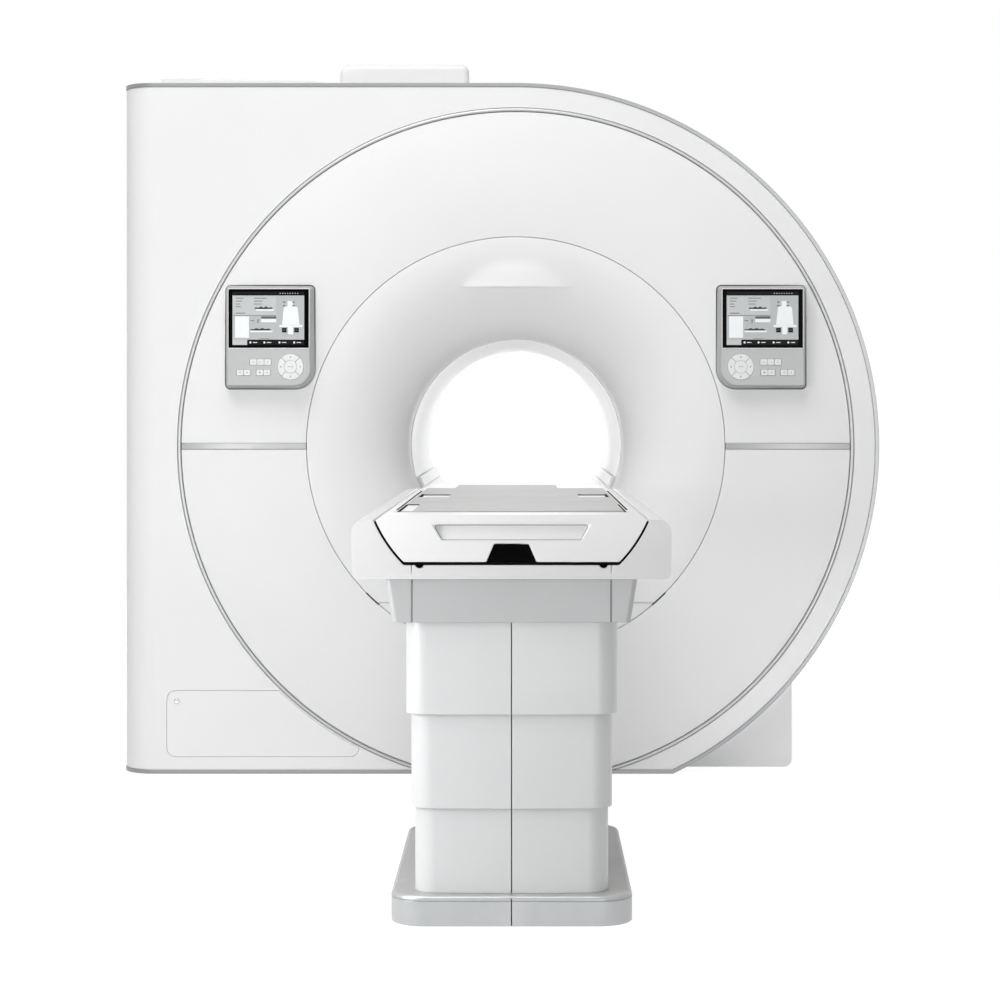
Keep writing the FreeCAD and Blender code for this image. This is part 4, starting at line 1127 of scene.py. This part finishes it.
tableTop = {"half": 0.33347, "low": 0.732, "high": 0.858, "lowRound": 0.012, "railRound": 0.028,
            "front": -3.050, "back": -1.080, "seamZ": 0.745, "endRound": 0.009, "channel": 0.3135,
            "floor": 0.762, "edge": 0.857, "corner": 0.008, "rollerX": 0.1925, "rollerRadius": 0.0092,
            "rollerUp": 0.003, "rollerLong": 0.020, "rollerPlay": 0.0003, "shadeLining": 0.0014,
            "shadeFront": 0.003, "shadeEnd": 0.050, "shadePlay": 0.0002, "shadeDrop": 0.004}
cradle = {"radius": 0.3085, "low": 0.769, "edge": 0.857, "rim": (0.254, 0.868), "front": -3.050,
          "back": -1.100, "corner": 0.008, "deckSeat": 0.8495, "deckFront": -2.919, "deckBack": -1.109,
          "runner": (0.120, 0.150), "runnerLow": 0.7623, "runnerFront": 0.105, "runnerEnd": 0.040}
# the front of the frame and of the cradle leans back towards its foot, down to a level lip
swell = {"top": 0.838, "low": 0.7385, "lean": 0.028, "steps": 44, "round": 0.009, "roundCradle": 0.0018}


def leanAt(z):      # how far the face has gone back at a height
    t = min(max((swell["top"] - z) / (swell["top"] - swell["low"]), 0), 1)
    return swell["lean"] * t * t


def cutFront(piece, front):      # cuts the front to its curve
    s = swell
    span = s["top"] - s["low"]
    levels = [0.70] + [s["low"] + span * n / s["steps"] for n in range(s["steps"] + 1)] + [0.90]
    side = [(front + leanAt(z), z) for z in levels] + [(front - past, 0.90), (front - past, 0.70)]
    return carve(piece, prism("frontCurve", side, -0.5, 0.5, alongX))


def swellFront(piece, front, width):      # cuts the front and rounds its edges
    def rim(edge):
        a, b = (face.normal for face in edge.link_faces)
        near = all(v.co.y < front + swell["lean"] + 0.001 for v in edge.verts)
        return near and min(a.y, b.y) < -0.85 and abs(a.y - b.y) > 0.6

    return roundEdges(cutFront(piece, front), rim, width)


def channelShadeLining():      # painted shade: near-black lining of the channel's mouth, behind the running gap, so that the gap reads black
    t = tableTop
    r, low, top = t["channel"] - t["shadePlay"], t["floor"] + t["shadePlay"], t["edge"] - t["shadeDrop"]
    outer = channelLine(r, low, top, t["corner"])
    inner = channelLine(r - t["shadeLining"], low + t["shadeLining"], top, t["corner"] - t["shadeLining"])
    near, end = t["front"] + t["shadeFront"], t["front"] + t["shadeEnd"]
    rings = []
    for side in (-1, 1):
        for (u, v), (inU, inV) in list(zip(outer, inner))[::side]:
            rings.append([(side * u, near + leanAt(v), v), (side * inU, near + leanAt(inV), inV),
                          (side * inU, end, inV), (side * u, end, v)])
    return loft("channelShadeLining", rings)


def buildFrame():
    t = tableTop
    radii = [t["lowRound"], t["lowRound"], t["railRound"], t["railRound"]]

    def outline(inset):
        return roundRect(-t["half"] + inset, t["half"] - inset, t["low"] + inset, t["high"] - inset,
                         [max(r - inset, 0.002) for r in radii], 12)

    body = softPrism("tableFrame", outline, t["front"], t["back"], alongY, 0.0, t["endRound"], 6)
    body = swellFront(body, t["front"], swell["round"])
    half = channelLine(t["channel"], t["floor"], t["edge"], t["corner"])
    way = mirrored(half + [(channelSide(t["channel"], t["edge"]), t["high"] + 0.02)])
    body = carve(body, prism("channel", way, t["front"] - past, t["back"] + past, alongY))
    body = carve(body, frontSeams(t["front"] + leanAt(t["seamZ"]), t["low"] - nip, t["floor"] + nip))
    foot, z = t["front"] + leanAt(t["floor"]), t["floor"] + t["rollerUp"]
    rollers = []
    for x in (-t["rollerX"], t["rollerX"]):      # two rollers show as bumps in the channel's mouth
        way = drum("rollerWay", t["rollerRadius"], t["front"] - past, foot + t["rollerLong"], x, z, 48)
        body = carve(body, way)
        r = t["rollerRadius"] - t["rollerPlay"]
        rollers.append(drum("roller", r, foot - 0.0005, foot + t["rollerLong"] - 0.001, x, z, 48))
    settle(soften(body, 0.0010, 2, 50), "frame", "table_frame", "table")
    rollers = carve(joinAll(rollers, "frontRollers"), box("cradleWay", (-1, -4, t["floor"]), (1, -2, 1)))
    settle(soften(rollers, 0.0006, 2, 50), "black", body="table")
    settle(channelShadeLining(), "gap", body="table", slot="paddle_black")


def cradleHalf():
    c = cradle
    return channelLine(c["radius"], c["low"], c["edge"], c["corner"]) + [c["rim"]]


# each ring of the groove is its half width above and below, its top and its foot
# seam is the width of the near-black line round the bed, which is painted shade
grip = {"mouth": (0.1705, 0.1470, 0.8546, 0.8135), "step": (0.1628, 0.1443, 0.8470, 0.8152),
        "bed": (0.1620, 0.1438, 0.8462, 0.8160), "grooveRound": 0.006, "stepDeep": (0.0036, 0.0026),
        "bedDeep": (0.0125, 0.0048), "seam": 0.0009, "recess": (0.036, 0.0525), "recessTop": 0.8075,
        "recessDeep": 0.060, "recessRound": 0.005, "gap": 0.0016, "setBack": 0.004, "wall": 0.007,
        "taper": 0.0022, "backFront": 0.040, "backEnd": 0.0595, "backPlay": 0.0003,
        "splits": ((-0.182, 0.7), (-0.062, 0.7), (-0.045, 0.80), (0.045, 0.80), (0.062, 0.7), (0.182, 0.7))}


def grooveOutline(wide, narrow, high, low):      # handle groove: round at its lower corners
    corners = [(-narrow, low), (narrow, low), (wide, high), (-wide, high)]
    return roundPoly(corners, grip["grooveRound"])


def gripRing(key, deep):      # ring of the groove, deeper at its top than at its foot
    high, low = grip[key][2:]
    ring = []
    for u, v in grooveOutline(*grip[key]):
        t = (v - low) / (high - low)
        ring.append((u, cradle["front"] + deep[1] + (deep[0] - deep[1]) * t, v))
    return ring


def gripShadeLine():      # painted shade: thin near-black line round the groove's bed, where the step's edge lies in shade
    wide = gripRing("step", grip["stepDeep"])
    rings = []
    for inset, back in ((0, 0.0002), (0, 0.0016), (grip["seam"], 0.0016), (grip["seam"], 0.0002)):
        line = insetRing([(u, v) for u, y, v in wide], inset)
        rings.append([(u, point[1] + back, v) for (u, v), point in zip(line, wide)])
    return loft("gripShadeLine", rings, closed=True)


def recessSlope():
    return (grip["recess"][1] - grip["recess"][0]) / (grip["recessTop"] - cradle["low"])


def recessOutline(inset, below):      # the release's trapezoid, carried on down below the cradle's bottom
    top, low = grip["recessTop"], cradle["low"]
    wide = grip["recess"][1] + recessSlope() * below - inset
    narrow = grip["recess"][0] - inset
    corners = [(-wide, low - below), (wide, low - below), (narrow, top - inset), (-narrow, top - inset)]
    start = roundPoly(corners, grip["recessRound"])
    return corners[:2] + start[len(start) // 2:]


def paddleSkin(inset, deep, rows=20, columns=12):      # face of the release, which follows the front's curve
    g = grip
    top, low = g["recessTop"] - g["gap"] - inset, cradle["low"] + 0.001
    turn = g["recessRound"]
    lines = []
    for n in range(rows + 1):
        z = low + (top - low) * n / rows
        over = max(z - (top - turn), 0)
        half = g["recess"][0] + recessSlope() * (g["recessTop"] - z) - g["gap"] - inset
        half -= turn - math.sqrt(max(turn ** 2 - over ** 2, 0))
        y = cradle["front"] + deep + leanAt(z)
        lines.append([(half * (2 * m / columns - 1), y, z) for m in range(columns + 1)])
    return lines


def buildCradle():
    c, g = cradle, grip
    front, seat = c["front"], c["rim"][0]
    body = prism("cradleShell", mirrored(cradleHalf()), front, c["back"], alongY)
    body = swellFront(body, front, swell["roundCradle"])
    body = carve(body, box("deckWay", (-seat, c["deckFront"], c["deckSeat"]), (seat, c["deckBack"], 1)))
    near, far = front + c["runnerFront"], c["back"] - c["runnerEnd"]
    for side in (-1, 1):
        runner = sideBox(side, *c["runner"], near, far, c["runnerLow"], c["low"] + 0.002)
        body = carve(body, runner, "UNION")
    rings = [[(u, front - nip, v) for u, v in grooveOutline(*g["mouth"])], gripRing("mouth", (0, 0)),
             gripRing("step", g["stepDeep"]), gripRing("bed", g["bedDeep"])]
    body = carve(body, loft("handle", rings))
    body = carve(body, prism("recess", recessOutline(0, 0.02), front - nip, front + g["recessDeep"], alongY))
    body = splitAcross(body, g["splits"])
    settle(soften(body, 0.0016, 3, 40), "shell", "cradle_shell", "cradle")
    settle(gripShadeLine(), "gap", body="cradle", slot="cover_white")
    skins = [paddleSkin(0, g["setBack"]), paddleSkin(g["taper"], g["setBack"] + g["wall"])]
    paddle = gridSolid("releasePaddle", *skins)
    settle(soften(paddle, 0.0012, 3, 50), "black", "release_paddle", "release_paddle")
    outline = recessOutline(g["backPlay"], -0.0005)
    back = prism("recessLining", outline, front + g["backFront"], front + g["backEnd"], alongY)
    settle(soften(back, 0.0006, 1), "black", body="cradle")


# the deck with what is let into it; pockets, corners and caps lie on both sides
deck = {"front": -2.910, "back": -1.110, "half": 0.245, "low": 0.850, "top": 0.870, "round": 0.0015,
        "lines": (-2.406, -2.115, -1.677, -1.300), "lineHalf": 0.0020, "lineDeep": 0.0012,
        "pocket": (0.163, 0.2385, -2.090, -1.860), "pocketDeep": 0.012, "inlayDeep": 0.004,
        "corner": (0.213, 0.2448, -2.9098, -2.540), "capInner": {-1: 0.165, 1: 0.117},
        "cap": (0.2448, -1.400, -1.112), "sideGap": 0.0045,
        "strip": (0.2453, 0.2537, -2.9095, -1.1110), "slot": (0.2472, 0.2524, -2.850, -1.600),
        "slotDeep": 0.008}


def buildDeck():
    d = deck
    top, inlay = d["top"], d["top"] - d["inlayDeep"]

    def outline(inset):
        half = d["half"] - inset
        return roundRect(-half, half, d["front"] + inset, d["back"] - inset, 0.004, 3)

    body = softPrism("cradleDeck", outline, d["low"], top, alongZ, 0.0, d["round"], 3)
    w = d["lineHalf"]
    for y in d["lines"]:
        body = carve(body, box("line", (-1, y - w, top - d["lineDeep"]), (1, y + w, 1)))
    low, high, near, far = d["pocket"]
    for u0, u1 in ((-high, -low), (low, high)):
        pocket = roundRect(u0, u1, near, far, 0.006, 5)
        body = carve(body, prism("pocket", pocket, top - d["pocketDeep"], 1, alongZ))
    for side in (-1, 1):
        high, near, far = d["cap"]
        body = carve(body, sideBox(side, d["capInner"][side], high, near, far, inlay, 1))
        low, high, near, far = d["corner"]
        if side > 0:
            low = high - d["sideGap"]
        body = carve(body, sideBox(side, low, high, near, far, inlay, 1))
    settle(soften(body, 0.0006, 2, 50), "deck", "cradle_deck", "cradle")
    buildInserts()


def sideBox(side, low, high, near, far, bottom, top):      # box between two distances from the middle
    u = sorted((side * low, side * high))
    return box("inlay", (u[0], near, bottom), (u[1], far, top))


def buildInserts():      # white cups and corner plates of the deck and its slotted edge strips; the near-black strips in its gaps, slots and pocket ends are painted shade
    d = deck
    top, gap, play = d["top"], d["sideGap"], 0.0002
    # dark gathers the near-black strips that stand for the shade in the gaps and slots (painted shade)
    white, dark = [], []
    for side in (-1, 1):

        def lay(pieces, low, high, near, far, bed, up):
            pieces.append(sideBox(side, low, high, near, far, bed, top + up))

        low, high, near, far = d["pocket"]
        bed = top - d["pocketDeep"] + play
        inner, outer = low + 0.001, high - gap - 0.001
        lay(white, inner, outer, near + 0.001, far - 0.020, bed, -0.004)
        lay(dark, inner, outer, far - 0.019, far - 0.001, bed, -0.009)
        lay(dark, high - gap, high - play, near + play, far - play, bed, -0.0006)
        low, high, near, far = d["corner"]
        bed = top - d["inlayDeep"] + play
        lay(dark, high - gap + play, high - play, near + play, far - play, bed, -0.0006)
        if side < 0:
            inner, outer = low + 0.0006, high - gap - 0.0004
            lay(white, inner, outer, near + 0.0040, far - 0.0012, bed, -0.0024)
            lay(dark, inner, outer, far - 0.0009, far - play, bed, -0.0003)
            lay(dark, inner, outer, near + play, near + 0.0036, bed, -0.0010)
        high, near, far = d["cap"]
        lay(white, d["capInner"][side] + 0.0006, high, near + 0.0006, far, bed, 0.0006)
        strip = sideBox(side, *d["strip"], d["low"] + play, top - 0.0006)
        white.append(carve(strip, sideBox(side, *d["slot"], top - d["slotDeep"], top + nip)))
        low, high, near, far = d["slot"]
        lay(dark, low + 0.0001, high - 0.0001, near + play, far - play, top - d["slotDeep"] + 0.0001, -0.0008)
    settle(soften(joinAll(white, "deckInserts"), 0.0003, 2, 50), "cover", body="cradle")
    settle(joinAll(dark, "deckShadeGaps"), "gap", body="cradle", slot="paddle_black")


print("building the gantry face")
buildSlab()
buildHatch()
buildDisc()
buildBell()
print("building the bore and the rear covers")
buildBore()
buildBarrel()
buildRoof()
print("building the consoles")
buildConsole(-1, "left")
buildConsole(1, "right")
print("building the table")
buildColumn()
buildHousing()
buildFrame()
buildCradle()
buildDeck()

# CAD nodes that stay in view inside the covers
kept = {"magnet_base": "steel", "cryostat_vessel": "vessel", "gradient_coil": "resin",
        "lower_lift_tube": "tube", "middle_lift_tube": "tube", "upper_lift_tube": "tube"}
for node, key in kept.items():
    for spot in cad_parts[node].material_slots:
        spot.material = finishes[key]
print("kept CAD nodes:", len(kept))


# camera, floor and light
view = {"place": (0.030, -7.930, 1.082), "lens": 84.4, "shiftX": -0.0258, "shiftY": -0.088}
camera = bpy.data.objects.new("camera", bpy.data.cameras.new("camera"))
scene.collection.objects.link(camera)
camera.location = view["place"]
camera.rotation_euler = (math.radians(90), 0, 0)
camera.data.lens = view["lens"]
camera.data.sensor_width = 36
camera.data.shift_x = view["shiftX"]
camera.data.shift_y = view["shiftY"]
scene.camera = camera


def seenRay(tree):      # 1 for rays that see the background: camera, glossy or transmission
    path = addNode(tree, "LightPath")
    seen = path.outputs["Is Camera Ray"]
    for kind in ("Is Glossy Ray", "Is Transmission Ray"):
        more = addNode(tree, "Math", operation="MAXIMUM")
        tree.links.new(seen, more.inputs[0])
        tree.links.new(path.outputs[kind], more.inputs[1])
        seen = more.outputs[0]
    return seen


def mixInto(tree, share, first, second, output):
    both = addNode(tree, "MixShader")
    tree.links.new(share, both.inputs["Fac"])
    tree.links.new(first.outputs[0], both.inputs[1])
    tree.links.new(second.outputs[0], both.inputs[2])
    tree.links.new(both.outputs[0], addNode(tree, output).inputs["Surface"])


# the rays that see the background get plain white, the others a softer light
room = {"ambient": 0.40, "floorWhite": 0.75, "floorGlow": 1.235, "floorSize": 14.0, "floorZ": -0.0004,
        "paper": (0.78, 0.78, 0.78, 1), "white": (1, 1, 1, 1)}
world = bpy.data.worlds.new("studio")
scene.world = world
world.use_nodes = True
world.node_tree.nodes.clear()
soft = addNode(world.node_tree, "Background", [("Color", room["white"]), ("Strength", room["ambient"])])
white = addNode(world.node_tree, "Background", [("Color", room["white"])])
mixInto(world.node_tree, seenRay(world.node_tree), soft, white, "OutputWorld")

half = room["floorSize"] / 2
corners = [(-half, -half, 0), (half, -half, 0), (half, half, 0), (-half, half, 0)]
floor = meshPiece("studioFloor", corners, [(0, 1, 2, 3)])
floor.location.z = room["floorZ"]
paper = bpy.data.materials.new("floorPaper")
paper.use_nodes = True
tree = paper.node_tree
tree.nodes.clear()
matt = addNode(tree, "BsdfDiffuse", [("Color", room["paper"])])
glow = addNode(tree, "Emission", [("Color", room["white"]), ("Strength", room["floorGlow"])])
share = addNode(tree, "Math", operation="MULTIPLY")
share.inputs[1].default_value = room["floorWhite"]
tree.links.new(seenRay(tree), share.inputs[0])
mixInto(tree, share.outputs[0], matt, glow, "OutputMaterial")
floor.data.materials.append(paper)

lamps = {
    "key": {"place": (-2.2, -5.6, 2.1), "target": (-0.2, -1.2, 1.0), "size": 1.8, "power": 8.0},
    "front": {"place": (4.0, -24.0, 1.2), "target": (0.2, -1.0, 1.0), "size": 8.0, "power": 600.0},
    "side": {"place": (-1.3, -3.5, 0.80), "target": (0.0, -2.8, 0.4), "size": 0.8, "power": 14.0},
    "top": {"place": (-1.2, -3.4, 6.0), "target": (0.0, -1.5, 0.0), "size": 4.0, "power": 200.0},
    "back": {"place": (0.0, 5.5, 1.6), "target": (0.0, 0.0, 1.0), "size": 3.0, "power": 130.0},
    "low": {"place": (1.9, -3.2, 0.30), "target": (0.98, -0.85, 0.10), "size": 0.5, "power": 0.5,
            "spread": 34},
}
for name, lamp in lamps.items():
    data = bpy.data.lights.new(name, "AREA")
    data.size = lamp["size"]
    data.energy = lamp["power"]
    data.spread = math.radians(lamp.get("spread", 180))
    light = bpy.data.objects.new(name, data)
    scene.collection.objects.link(light)
    light.location = lamp["place"]
    light.visible_camera = False
    aim = Vector(lamp["target"]) - Vector(lamp["place"])
    light.rotation_euler = aim.to_track_quat("-Z", "Y").to_euler()
print("camera, floor and lights placed")
